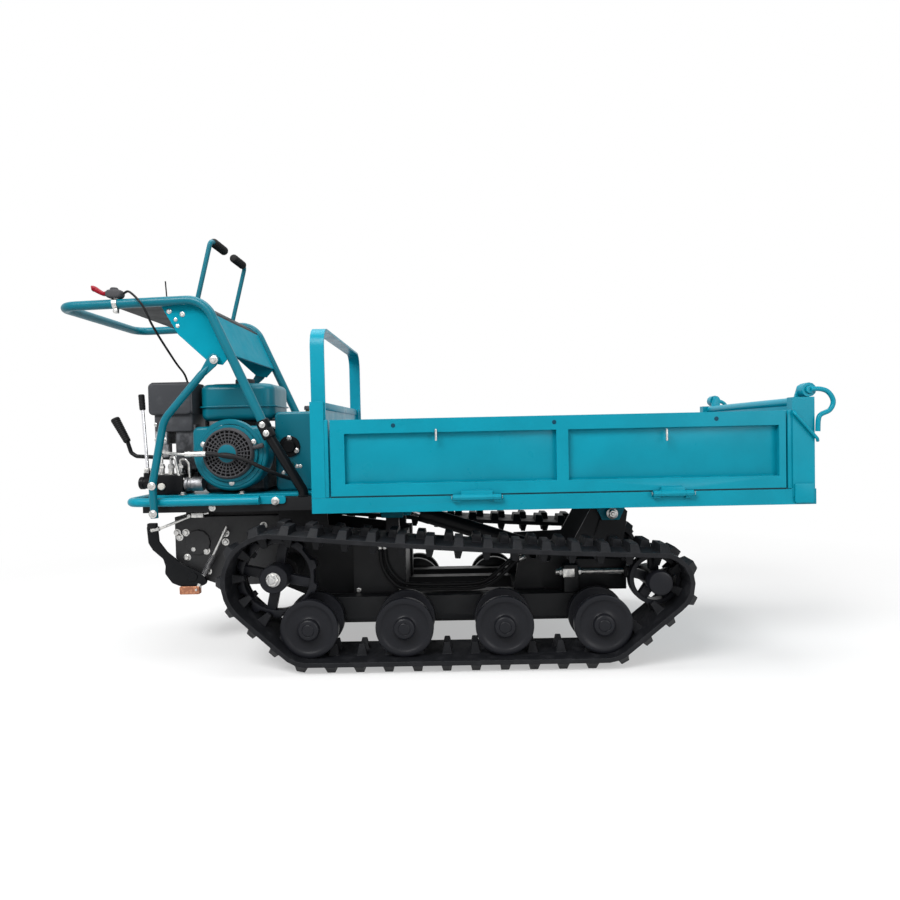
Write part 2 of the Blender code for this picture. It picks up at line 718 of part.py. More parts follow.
def rubber_track(name, side):
    """Endless belt with staggered tread lugs outside and twin guide horns inside."""
    spots, normals = belt_stations()
    count = len(spots)
    half = TRACK_WIDTH / 2
    outer_ys = (-half, 0.0, half)
    horn_ys = (half, HORN_OUTER, HORN_INNER, -HORN_INNER, -HORN_OUTER, -half)
    shell = bmesh.new()
    outer_rows, inner_rows = [], []
    for index in range(count):
        x, z = spots[index] + normals[index] * CARCASS
        u, w = spots[index]
        plain = index % len(LINK_CUTS) == len(LINK_CUTS) - 1
        inner_ys = (half, -half) if plain else horn_ys
        outer_rows.append([shell.verts.new((x, y, z)) for y in outer_ys])
        inner_rows.append([shell.verts.new((u, y, w)) for y in inner_ys])
    treads, horns = [], []
    for index in range(count):
        after = (index + 1) % count
        cell = index % len(LINK_CUTS)
        here, there = outer_rows[index], outer_rows[after]
        under, beyond = inner_rows[index], inner_rows[after]
        shell.faces.new((here[-1], under[0], beyond[0], there[-1]))
        shell.faces.new((under[-1], here[0], there[0], beyond[-1]))
        for column in range(len(here) - 1):
            face = shell.faces.new((here[column], here[column + 1], there[column + 1], there[column]))
            if cell == column:
                treads.append(face)
        if cell > 0:
            shell.faces.new(under + beyond[::-1])
            continue
        for column in range(len(under) - 1):
            face = shell.faces.new((under[column], under[column + 1], beyond[column + 1], beyond[column]))
            if column in (1, 3):
                horns.append(face)
    bmesh.ops.recalc_face_normals(shell, faces=shell.faces)
    raise_blocks(shell, treads, LUG_HEIGHT, LUG_TOP_SHARE, 1.0, LUG_END_SLOPE)
    raise_blocks(shell, horns, HORN_HEIGHT, HORN_TIP_SHARE, HORN_TIP_SHARE)
    if side > 0:
        bmesh.ops.scale(shell, vec=(1, -1, 1), verts=shell.verts)
    bmesh.ops.translate(shell, vec=(0, side * TRACK_OFFSET, 0), verts=shell.verts)
    bmesh.ops.recalc_face_normals(shell, faces=shell.faces)
    return node(name, "rubber", [shell])


def spoke_windows(outer, inner, spokes, tilt, steps=4):
    """Outlines of the openings between the spokes of a wheel centred on zero."""
    windows = []
    for index in range(spokes):
        start = tilt + index * 2 * math.pi / spokes
        end = tilt + (index + 1) * 2 * math.pi / spokes
        wide = math.asin(SPOKE_WIDTH / 2 / outer)
        tight = math.asin(SPOKE_WIDTH / 2 / inner)
        window = arc((0, 0), outer, math.degrees(start + wide), math.degrees(end - wide), steps)
        window += arc((0, 0), inner, math.degrees(end - tight), math.degrees(start + tight), 1)
        windows.append(window)
    return windows


def moved(outlines, x, z):
    """Outlines shifted in their plane."""
    return [[(u + x, v + z) for u, v in outline] for outline in outlines]


def drive_sprocket(name, side):
    """Thin toothed wheel with four spokes, on its axle end with a hub nut."""
    outline = []
    step = 2 * math.pi / TEETH
    for index in range(TEETH):
        angle = math.pi + (index + 0.5) * step
        root = TOOTH_ROOT_WIDTH / 2 / TOOTH_ROOT_RADIUS
        tip = TOOTH_TIP_WIDTH / 2 / TOOTH_TIP_RADIUS
        for radius, turn in ((TOOTH_ROOT_RADIUS, -root), (TOOTH_TIP_RADIUS, -tip),
                             (TOOTH_TIP_RADIUS, tip), (TOOTH_ROOT_RADIUS, root)):
            outline.append((radius * math.cos(angle + turn), radius * math.sin(angle + turn)))
    hub_inner = SPROCKET_HUB_RADIUS + 0.004
    windows = spoke_windows(TOOTH_ROOT_RADIUS - SPROCKET_RIM, hub_inner, 4, SPROCKET_TILT)
    middle = side * TRACK_OFFSET
    half = SPROCKET_THICKNESS / 2
    wheel = plate(moved([outline] + windows, SPROCKET_X, SPROCKET_Z), (middle - half, middle + half))
    axle_end = HOUSING_END + GAP - TRACK_OFFSET
    nut_face = SPROCKET_HUB_FACE + HUB_NUT_DEPTH
    profile = [(0, nut_face + 0.008), (AXLE_RADIUS, nut_face + 0.008), (AXLE_RADIUS, nut_face),
               (HUB_NUT_RADIUS, nut_face), (HUB_NUT_RADIUS, SPROCKET_HUB_FACE),
               (SPROCKET_HUB_RADIUS, SPROCKET_HUB_FACE), (SPROCKET_HUB_RADIUS, -0.026), (0.020, -0.026),
               (0.020, axle_end), (0, axle_end)]
    hub = turned(profile, (SPROCKET_X, middle, SPROCKET_Z), side, 14)
    return node(name, "black paint", [wheel, hub], origin=(SPROCKET_X, middle, SPROCKET_Z))


def idler_wheel(name, side):
    """Front wheel of a track: one spoked ring between the guide horns, on a hub with a domed cap."""
    middle = side * TRACK_OFFSET
    circle = arc((0, 0), IDLER_RADIUS, 0, 360 * (1 - 1 / WHEEL_STEPS), WHEEL_STEPS - 1)
    windows = spoke_windows(IDLER_RADIUS - IDLER_RIM, IDLER_HUB_RADIUS + 0.004, IDLER_WINDOWS,
                            math.radians(20), 3)
    outlines = moved([circle] + windows, IDLER_X, IDLER_Z)
    ring = plate(outlines, (middle - IDLER_HALF, middle + IDLER_HALF))
    profile = [(0, WHEEL_OUTBOARD), (CAP_RADIUS - 0.005, WHEEL_OUTBOARD), (CAP_RADIUS, WHEEL_OUTBOARD - 0.006),
               (CAP_RADIUS, DISC_INNER + 0.002), (IDLER_HUB_RADIUS, DISC_INNER),
               (IDLER_HUB_RADIUS, -WHEEL_INBOARD), (0, -WHEEL_INBOARD)]
    hub = turned(profile, (IDLER_X, middle, IDLER_Z), side, 14)
    return node(name, "black paint", [hub, ring], origin=(IDLER_X, middle, IDLER_Z))


def road_roller(name, side, x):
    """Bottom roller: two dished discs on one hub, with a cap outside."""
    disc_outer = DISC_INNER + DISC_THICKNESS
    profile = [(0, WHEEL_OUTBOARD), (CAP_RADIUS, WHEEL_OUTBOARD), (CAP_RADIUS, disc_outer - 0.006),
               (ROLLER_RADIUS - 0.014, disc_outer - 0.002), (ROLLER_RADIUS - 0.010, disc_outer),
               (ROLLER_RADIUS - 0.003, disc_outer), (ROLLER_RADIUS, disc_outer - 0.003),
               (ROLLER_RADIUS, DISC_INNER), (ROLLER_HUB_RADIUS, DISC_INNER),
               (ROLLER_HUB_RADIUS, -DISC_INNER), (ROLLER_RADIUS, -DISC_INNER),
               (ROLLER_RADIUS, -disc_outer), (ROLLER_HUB_RADIUS, -WHEEL_INBOARD), (0, -WHEEL_INBOARD)]
    centre = (x, side * TRACK_OFFSET, ROLLER_Z)
    return node(name, "black paint", [turned(profile, centre, side, WHEEL_STEPS)], origin=centre)


def track_beam(name, side):
    """Box beam that carries the four bottom rollers on stub axles."""
    beam = box((BEAM_REAR, BEAM_FRONT), span(side, BEAM_INNER, BEAM_OUTER), (BEAM_BOTTOM, BEAM_TOP))
    stub_end = TRACK_OFFSET - WHEEL_INBOARD - GAP
    stubs = [across(x, ROLLER_Z, span(side, BEAM_OUTER - 0.01, stub_end), AXLE_RADIUS) for x in ROLLER_XS]
    return node(name, "black paint", [beam] + stubs)


def track_tensioner(name, side):
    """Threaded rod in its nut block before a guide box, and the slide that carries the idler's axle."""
    ys = span(side, BEAM_INNER + 0.006, BEAM_OUTER - 0.004)
    foot = BEAM_TOP + GAP
    block = box(TENSION_BLOCK_X, ys, (foot, IDLER_Z + 0.022))
    guide = box((TENSION_BLOCK_X[1] - 0.002, TENSION_SLIDE_X[0] + 0.012),
                span(side, BEAM_INNER + 0.001, BEAM_INNER + TENSION_GUIDE), (foot + 0.001, IDLER_Z + 0.033))
    slide = box(TENSION_SLIDE_X, ys, (IDLER_Z - TENSION_SLIDE_HALF, IDLER_Z + TENSION_SLIDE_HALF))
    y = side * (BEAM_INNER + BEAM_OUTER) / 2
    rod = cylinder((TENSION_BLOCK_X[0] - 0.02, y, IDLER_Z), (TENSION_SLIDE_X[0] + 0.01, y, IDLER_Z),
                   TENSION_ROD_RADIUS)
    stub_end = TRACK_OFFSET - WHEEL_INBOARD - GAP
    stub = across(IDLER_X, IDLER_Z, span(side, BEAM_OUTER - 0.01, stub_end), AXLE_RADIUS)
    return node(name, "black paint", [block, guide, slide, rod, stub])


def chassis_frame():
    """Black welded frame between the tracks, with the pan under the engine and the bed's pivots."""
    shells = [box(PAN_X, (-PAN_HALF, PAN_HALF), (PAN_BOTTOM, PAN_TOP))]
    rear_plate = [(PAN_X[1] - 0.14, PAN_BOTTOM + 0.01), (PAN_X[1] - 0.14, REAR_BOX_BOTTOM + 0.03),
                  (REAR_BOX_X[0] - 0.05, REAR_BOX_BOTTOM), (REAR_BOX_X[1] - 0.002, REAR_BOX_BOTTOM),
                  (REAR_BOX_X[1] - 0.002, REAR_BOX_TOP), (PAN_X[1], REAR_BOX_TOP + 0.03),
                  (PAN_X[1] - 0.005, PAN_BOTTOM + 0.01)]
    low, high = CROSS_TUBE_Z
    front_plate = [(FRONT_TUBE_X[0] - 0.012, low + 0.005), (FRONT_TUBE_X[0] + 0.015, IDLER_Z + 0.068),
                   (BASE_PIN_X + 0.085, IDLER_Z + 0.073), (PIVOT_X - 0.050, PIVOT_Z + 0.018),
                   (PIVOT_X + 0.034, PIVOT_Z + 0.018), (PIVOT_X + 0.050, PIVOT_Z + 0.002),
                   (PIVOT_X + 0.024, IDLER_Z - 0.012), (PIVOT_X - 0.036, low + 0.020),
                   (FRONT_TUBE_X[1] + 0.02, low + 0.005)]
    cuts = [across(SPROCKET_X, SPROCKET_Z, (-HOUSING_END, HOUSING_END), HOUSING_RADIUS + GAP, 16)]
    for _, side in SIDES:
        ys = span(side, PLATE_INNER, PLATE_OUTER)
        shells.append(plate([rear_plate], ys))
        shells.append(plate([front_plate], ys))
        shells.append(box((REAR_BOX_X[1] - 0.05, FRONT_TUBE_X[0] + 0.02),
                          span(side, CENTRE_RAIL_INNER, PLATE_OUTER - 0.001), (low + 0.002, high - 0.002)))
        shells.append(box((REST_X[0] + 0.012, REST_X[1] - 0.012),
                          span(side, PLATE_INNER - 0.006, EAR_INNER + 0.018),
                          (REAR_BOX_TOP - 0.03, REST_BOTTOM - GAP)))
        shells.append(box(SIDE_COVER_X, span(side, PLATE_OUTER - 0.004, SIDE_COVER_OUTER),
                          (REAR_BOX_BOTTOM + 0.002, REAR_BOX_TOP - 0.004)))
        shells.append(across(PIVOT_X, PIVOT_Z, span(side, PLATE_INNER + 0.002, UNDER_RAIL[1]),
                             PIVOT_PIN_RADIUS))
        shells.append(plate([clevis_outline()], span(side, CLEVIS_INNER, CLEVIS_INNER + CLEVIS_THICKNESS)))
        for x, z in BRACKET_HOLES:
            cuts.append(across(x, z, span(side, PLATE_INNER - 0.002, PLATE_OUTER + 0.002),
                               BRACKET_HOLE_RADIUS))
    reach = BEAM_INNER - GAP
    shells.append(box(REAR_BOX_X, (-PLATE_INNER - 0.002, PLATE_INNER + 0.002),
                      (REAR_BOX_BOTTOM + 0.001, REAR_BOX_TOP - 0.01)))
    shells.append(box((SIDE_COVER_X[0] + 0.03, SIDE_COVER_X[1] - 0.02), (-reach, reach), CROSS_TUBE_Z))
    shells.append(box(FRONT_TUBE_X, (-reach, reach), CROSS_TUBE_Z))
    shells.append(box((PIVOT_X - 0.085, PIVOT_X - 0.045), (-PLATE_OUTER + 0.002, PLATE_OUTER - 0.002),
                      (IDLER_Z - 0.02, IDLER_Z + 0.02)))
    shells.append(across(BASE_PIN_X, BASE_PIN_Z, (-CLEVIS_INNER - 0.004, CLEVIS_INNER + 0.004),
                         CYLINDER_PIN_RADIUS))
    return node("chassis_frame", "black paint", shells, cuts)


def clevis_outline():
    """Outline of the two plates that hold the foot of the lifting cylinder."""
    return [(FRONT_TUBE_X[0] + 0.02, CROSS_TUBE_Z[1] - 0.01), (BASE_PIN_X - 0.022, BASE_PIN_Z + 0.012),
            (BASE_PIN_X - 0.008, BASE_PIN_Z + 0.022), (BASE_PIN_X + 0.012, BASE_PIN_Z + 0.022),
            (BASE_PIN_X + 0.024, BASE_PIN_Z + 0.004), (FRONT_TUBE_X[1] - 0.004, CROSS_TUBE_Z[1] - 0.01)]


def from_sprocket(points, y=None):
    """Points given from the sprocket's axis, as places in the XZ plane or at one Y."""
    places = [(SPROCKET_X + u, SPROCKET_Z + v) for u, v in points]
    return places if y is None else [(x, y, z) for x, z in places]


def gearbox():
    """Cast final drive with the axle housings of both sprockets."""
    left, right = (SPROCKET_X + x for x in GEARBOX_TOP_X)
    outline = [(left, GEARBOX_TOP)] + from_sprocket(GEARBOX_OUTLINE) + [(right, GEARBOX_TOP)]
    body = plate([outline], (-GEARBOX_HALF, GEARBOX_HALF))
    mount_half = GEARBOX_HALF - 0.020
    mount = box((PAN_X[0] + 0.060, PAN_X[1] - 0.150), (-mount_half, mount_half),
                (GEARBOX_TOP - 0.010, PAN_BOTTOM - GAP))
    housing = across(SPROCKET_X, SPROCKET_Z, (-HOUSING_END, HOUSING_END), HOUSING_RADIUS, 16)
    (x, z), = from_sprocket([GEARBOX_FLANGE])
    flanges = [across(x, z, span(side, GEARBOX_HALF - 0.01, GEARBOX_HALF + 0.006), GEARBOX_FLANGE_RADIUS)
               for _, side in SIDES]
    return node("gearbox", "black paint", [body, mount, housing] + flanges)


def brake_arm():
    """Curved brake arm beside the gearbox, with its two pull rods."""
    ys = (-GEARBOX_HALF - ARM_GAP - ARM_THICKNESS, -GEARBOX_HALF - ARM_GAP)
    arm = plate([from_sprocket(ARM_OUTLINE)], ys)
    middle = sum(ys) / 2
    (x, z), = from_sprocket([ARM_BOSS])
    boss = across(x, z, (ys[1] - 0.004, -GEARBOX_HALF - GAP), ARM_GAP)
    shoe = box([SPROCKET_X + x for x in ARM_SHOE_X], (ys[0] - 0.004, ys[1] + 0.004),
               [SPROCKET_Z + z for z in ARM_SHOE_Z])
    rods = [tube(from_sprocket(route, middle), PULL_ROD_RADIUS) for route in (UPPER_PULL_ROD, LOWER_PULL_ROD)]
    return node("brake_arm", "black paint", [arm, boss, shoe] + rods)


def rear_bumper():
    """U-shaped tube round the rear of the engine deck, with flat tabs bolted to the sides of the pan."""
    y = PAN_HALF + 2 * GAP + BUMPER_RADIUS
    corners = [(BUMPER_FRONT_X, -y, BUMPER_Z), (BUMPER_END_X, -y, BUMPER_Z),
               (BUMPER_END_X, y, BUMPER_Z), (BUMPER_FRONT_X, y, BUMPER_Z)]
    shells = [tube(rounded_route(corners, (BUMPER_BEND, BUMPER_BEND)), BUMPER_RADIUS, 3)]
    for _, side in SIDES:
        shells.append(box((BUMPER_FRONT_X - 0.020, BUMPER_TAB_X),
                          span(side, PAN_HALF + GAP, PAN_HALF + GAP + BUMPER_TAB_THICKNESS),
                          (BUMPER_Z - BUMPER_TAB_HALF, BUMPER_Z + BUMPER_TAB_HALF)))
    return node("rear_bumper", "teal paint", shells)


DECK_TOP = PAN_TOP + GAP + DECK_THICKNESS
ON_DECK = DECK_TOP + GAP


def engine_deck():
    """Plate on the pan that carries the engine and the oil tank."""
    return node("engine_deck", "teal paint", [box(DECK_X, (-DECK_HALF, DECK_HALF), (PAN_TOP + GAP, DECK_TOP))])


def engine_block():
    """Crankcase with its finned cylinder towards the handle end."""
    case = box(CASE_X, CASE_Y, (ON_DECK, CASE_TOP), 0.010)
    core = FIN_HALF - 0.018
    barrel = box((BARREL_BLOCK_X[0] + FIN_THICKNESS / 2, CASE_X[0] + 0.020), (-core, core), BARREL_BLOCK_Z)
    step = (BARREL_BLOCK_X[1] - BARREL_BLOCK_X[0]) / FIN_COUNT
    fins = []
    for index in range(FIN_COUNT):
        x = BARREL_BLOCK_X[0] + index * step
        fins.append(box((x, x + FIN_THICKNESS), (-FIN_HALF, FIN_HALF),
                        (BARREL_BLOCK_Z[0] - FIN_REACH, BARREL_BLOCK_Z[1] + FIN_REACH)))
    neck = box((CASE_X[0] + 0.040, CASE_X[1] - 0.040), (-0.060, 0.060), (CASE_TOP - 0.020, TANK_Z[0] - GAP))
    shaft = across(CRANK_X, CRANK_Z - 0.020, (CASE_Y[1] - 0.010, GUARD_Y[0] - GAP), 0.020)
    return node("engine_block", "cast metal", [case, barrel, neck, shaft] + fins)


def blower_housing():
    """Teal pressed housing over the flywheel, round below and square above."""
    left, right = CRANK_X - BLOWER_RADIUS, CRANK_X + BLOWER_RADIUS
    outline = arc((CRANK_X, CRANK_Z), BLOWER_RADIUS, 180, 360, 12)
    outline += arc((right - 0.018, BLOWER_TOP - 0.018), 0.018, 0, 90, 2)
    outline += arc((left + 0.018, BLOWER_TOP - 0.018), 0.018, 90, 180, 2)
    return node("blower_housing", "teal paint", [plate([outline], (BLOWER_Y[0], CASE_Y[0] - GAP))])


def recoil_starter():
    """Round slotted cover of the pull starter."""
    profile = [(0, RECOIL_DEPTH - 0.004), (0.030, RECOIL_DEPTH), (RECOIL_RADIUS - 0.018, RECOIL_DEPTH),
               (RECOIL_RADIUS, 0.010), (RECOIL_RADIUS, GAP), (0, GAP)]
    centre = (CRANK_X, BLOWER_Y[0], CRANK_Z)
    return node("recoil_starter", "plastic", [turned(profile, centre, -1, 24)], origin=centre)


def fuel_tank():
    """Pressed tank in two halves with a seam flange and a filler cap."""
    body = rounded_tank(TANK_X, TANK_Y, TANK_Z, TANK_CORNER, 0.014)
    seam = rounded_tank((TANK_X[0] - TANK_LIP, TANK_X[1] + TANK_LIP), (TANK_Y[0] - TANK_LIP, TANK_Y[1] + TANK_LIP),
                        (TANK_SEAM_Z - 0.002, TANK_SEAM_Z + 0.002), TANK_CORNER + TANK_LIP, 0.0005)
    x, y = sum(TANK_X) / 2, sum(TANK_Y) / 2
    cap = cylinder((x, y, TANK_Z[1] - 0.010), (x, y, TANK_Z[1] + 0.018), TANK_CAP_RADIUS, 16)
    return node("fuel_tank", "teal paint", [body, seam, cap])


def air_cleaner():
    """Air filter box with the carburettor housing below it."""
    cover = box(AIR_BOX_X, AIR_BOX_Y, AIR_BOX_Z, 0.014, 2)
    ys = (AIR_BOX_Y[0] + 0.012, AIR_BOX_Y[1] - 0.012)
    under = box((AIR_BOX_X[0] + 0.012, AIR_BOX_X[1] - 0.004), ys, (0.620, AIR_BOX_Z[0] + 0.010), 0.004)
    bowl = box((AIR_BOX_X[0] + 0.010, BARREL_BLOCK_X[0] - 0.0045), (ys[0] + 0.001, ys[0] + 0.078),
               (CARBURETTOR_Z, AIR_BOX_Z[0] + 0.009), 0.003)
    throat = box((BARREL_BLOCK_X[0] + 0.015, BARREL_BLOCK_X[1] - 0.015), (ys[0] + 0.008, -FIN_HALF - GAP),
                 (BARREL_BLOCK_Z[0] + 0.01, 0.640))
    return node("air_cleaner", "plastic", [cover, under, bowl, throat])


def muffler():
    """Silencer on the far side, over the cylinder."""
    body = box(MUFFLER_X, MUFFLER_Y, MUFFLER_Z, 0.016, 2)
    foot = BARREL_BLOCK_Z[1] + FIN_REACH + GAP
    x = BARREL_BLOCK_X[0] + 0.045
    y = MUFFLER_Y[0] + 0.030
    pipe = cylinder((x, y, foot), (x, y, MUFFLER_Z[0] + 0.030), 0.016)
    outlet = cylinder((MUFFLER_X[0] + 0.010, y + 0.030, MUFFLER_Z[0] + 0.050),
                      (MUFFLER_X[0] - 0.022, y + 0.030, MUFFLER_Z[0] + 0.040), 0.011)
    return node("muffler", "cast metal", [body, pipe, outlet])


def oil_tank():
    """Hydraulic oil tank with a round flange on its near face."""
    body = box(OIL_TANK_X, OIL_TANK_Y, (ON_DECK, OIL_TANK_TOP), 0.012, 2)
    flange = across(OIL_TANK_X[0] + 0.042, CRANK_Z + 0.014, (OIL_TANK_Y[0] - 0.014, OIL_TANK_Y[0] + 0.01),
                    0.030, 16)
    x, y = sum(OIL_TANK_X) / 2 + 0.02, sum(OIL_TANK_Y) / 2
    cap = cylinder((x, y, OIL_TANK_TOP - 0.010), (x, y, OIL_TANK_TOP + 0.020), 0.018)
    return node("oil_tank", "teal paint", [body, flange, cap])


def belt_guard():
    """Sheet guard over the drive belt on the far side."""
    top = arc((CRANK_X, CRANK_Z - 0.010), GUARD_RADIUS, 0, 180, 8)
    outline = top + [(CRANK_X - GUARD_RADIUS, ON_DECK), (CRANK_X + GUARD_RADIUS, ON_DECK)]
    return node("belt_guard", "black paint", [plate([outline], GUARD_Y)])


def valve_block():
    """Hydraulic control valve with its ports, its pump and the spool end that carries the lever."""
    block = box(VALVE_X, VALVE_Y, (ON_DECK, VALVE_TOP), 0.004)
    ports = [cylinder((x, PORT_Y, VALVE_TOP - 0.010), (x, PORT_Y, PORT_TOP), PORT_RADIUS) for x in PORT_XS]
    spool = cylinder((SPOOL_X[1], SPOOL_Y, SPOOL_Z), (SPOOL_X[0], SPOOL_Y, SPOOL_Z), SPOOL_RADIUS)
    neck = cylinder((NECK_X, SPOOL_Y, SPOOL_Z), (NECK_X, SPOOL_Y, NECK_TOP), 0.011)
    pump = cylinder((PUMP_X[0], PUMP_Y, PUMP_Z), (PUMP_X[1], PUMP_Y, PUMP_Z), PUMP_RADIUS)
    return node("valve_block", "cast metal", [block, spool, neck, pump] + ports)


def valve_lever():
    """Straight lever of the control valve with its grip."""
    top, foot = Vector(VALVE_LEVER_TOP), Vector((NECK_X, SPOOL_Y, NECK_TOP + GAP))
    grip = top + (foot - top) * VALVE_GRIP_SHARE
    overlap = (foot - grip) * 0.01
    rod = cylinder(foot, grip, VALVE_LEVER_RADIUS)
    return node("valve_lever", "chrome", [rod, cylinder(grip + overlap, top, VALVE_GRIP_RADIUS)])


def gear_lever():
    """Cranked gear lever that comes up through the deck."""
    route = [(GEAR_ROUTE[0][0], 0.0, ON_DECK)] + [(x, 0.0, z) for x, z in GEAR_ROUTE]
    (x0, z0), (x1, z1) = GEAR_GRIP
    low, high = GEAR_GRIP_RADII
    grip = cylinder((x0, 0.0, z0), (x1, 0.0, z1), low, 12, high)
    return node("gear_lever", "black paint", [tube(route, GEAR_ROD_RADIUS), grip])


def handlebar():
    """U-shaped handle tube with its knees, from clamp to clamp."""
    slope = Vector((HANDLE_KNEE_X - CLAMP_X, 0, HANDLE_KNEE_Z - CLAMP_Z)).normalized()
    foot = Vector((CLAMP_X, 0, CLAMP_Z)) + slope * (CLAMP_HALF + GAP)
    corners = []
    for side in (-1, 1):
        legs = [(foot.x, side * HANDLE_HALF, foot.z), (HANDLE_KNEE_X, side * HANDLE_HALF, HANDLE_KNEE_Z),
                (HANDLE_END_X, side * HANDLE_HALF, HANDLE_END_Z)]
        corners += legs if side < 0 else legs[::-1]
    bends = (HANDLE_KNEE_BEND, HANDLE_END_BEND, HANDLE_END_BEND, HANDLE_KNEE_BEND)
    return tube_node("handlebar", "teal paint", rounded_route(corners, bends), HANDLE_RADIUS, 3)


def handle_strut(name, side):
    """Lower strut of the handle with the clamp that grips the handle tube."""
    slope = Vector((HANDLE_KNEE_X - CLAMP_X, 0, HANDLE_KNEE_Z - CLAMP_Z)).normalized()
    centre = Vector((CLAMP_X, side * HANDLE_HALF, CLAMP_Z))
    clamp = cylinder(centre - slope * CLAMP_HALF, centre + slope * CLAMP_HALF, CLAMP_RADIUS)
    foot_y = side * (PAN_HALF - STRUT_RADIUS)
    rod = tube([centre - slope * (CLAMP_HALF - 0.01), (STRUT_FOOT_X, foot_y, PAN_TOP + STRUT_FOOT_RISE),
                (STRUT_FOOT_X, foot_y, PAN_TOP + GAP)], STRUT_RADIUS)
    return node(name, "black paint", [clamp, rod])


def console_plate():
    """Bent plate between the handle tubes, with a cheek along each tube."""
    slope = Vector((CLAMP_X - HANDLE_KNEE_X, CLAMP_Z - HANDLE_KNEE_Z)).normalized()
    knee = Vector((HANDLE_KNEE_X, HANDLE_KNEE_Z))
    outer = HANDLE_HALF - HANDLE_RADIUS - GAP
    rear = Vector((CONSOLE_REAR_X, HANDLE_KNEE_Z - 0.004))
    foot = knee + slope * CONSOLE_FOOT
    bend_in, bend_out = knee - Vector((0.03, 0.0)), knee + slope * 0.03
    side_way = Vector((slope.y, -slope.x))
    top = [rear, bend_in, bend_out, foot]
    thin = [foot + side_way * CONSOLE_THICKNESS, bend_out + side_way * CONSOLE_THICKNESS,
            bend_in - Vector((0, CONSOLE_THICKNESS)), rear - Vector((0, CONSOLE_THICKNESS))]
    sheet = plate([[tuple(point) for point in top + thin]], (-outer, outer))
    cheek = [(knee.x + x, knee.y + z) for x, z in CHEEK_OUTLINE]
    cheek += [tuple(foot), tuple(bend_out), tuple(bend_in)]
    cheeks = [plate([cheek], span(side, outer - CHEEK_THICKNESS, outer - 0.0005)) for _, side in SIDES]
    return node("console_plate", "teal paint", [sheet] + cheeks)


def handle_brace(name, side):
    """Rear brace from the console cheek down past the bumper."""
    top_y = side * (HANDLE_HALF - HANDLE_RADIUS + BRACE_RADIUS)
    low_y = side * (PAN_HALF + 2 * BUMPER_RADIUS + 3 * GAP + BRACE_RADIUS)
    corners = []
    for (x, z), y in zip((BRACE_TOP, BRACE_ELBOW, BRACE_LOW, BRACE_END), (top_y, (top_y + low_y) / 2, low_y, low_y)):
        corners.append((HANDLE_KNEE_X + x, y, HANDLE_KNEE_Z + z))
    return tube_node(name, "teal paint", rounded_route(corners, (BRACE_BEND, BRACE_BEND), 3), BRACE_RADIUS)


def steering_lever(name, side):
    """Steering clutch lever: a rod up from the console and a grip turned inwards."""
    y = side * LEVER_HALF
    top_z = HANDLE_KNEE_Z + LEVER_RISE
    corners = [(LEVER_FOOT_X, y, HANDLE_KNEE_Z + GAP + LEVER_RADIUS * 0.22), (LEVER_TOP_X, y, top_z),
               (LEVER_TOP_X, y - side * (LEVER_BEND + 0.010), top_z)]
    rod = tube(rounded_route(corners, (LEVER_BEND,), 4), LEVER_RADIUS)
    grip = cylinder((LEVER_TOP_X, y - side * LEVER_BEND, top_z),
                    (LEVER_TOP_X, y - side * (LEVER_BEND + GRIP_LENGTH), top_z), GRIP_RADIUS)
    return node(name, "teal paint", [rod, grip])


def throttle_lever():
    """Throttle control on the right-hand tube of the handle."""
    top = HANDLE_END_Z + HANDLE_RADIUS
    body = box(THROTTLE_X, (-HANDLE_HALF - THROTTLE_HALF, -HANDLE_HALF + THROTTLE_HALF),
               (top + THROTTLE_Z[0], top + THROTTLE_Z[1]), 0.004)
    arm = tube([(x, -HANDLE_HALF, top + rise) for x, rise in THROTTLE_ARM], THROTTLE_ARM_RADIUS)
    return node("throttle_lever", "plastic", [body, arm])


def hoses():
    """Throttle cable and hydraulic hoses, each on a smooth curve through its own points."""
    tube_node("throttle_cable", "rubber", smooth_route(THROTTLE_CABLE, CABLE_SPACING), CABLE_RADIUS, 2)
    tube_node("pressure_hose", "rubber", smooth_route(PRESSURE_HOSE, HOSE_SPACING), HOSE_RADIUS, 2)
    for index, route in enumerate(CYLINDER_HOSES):
        points = smooth_route([(x, -y, z) for x, y, z in route], HOSE_SPACING)
        tube_node(f"cylinder_hose_{index + 1}", "rubber", points, HOSE_RADIUS, 2)


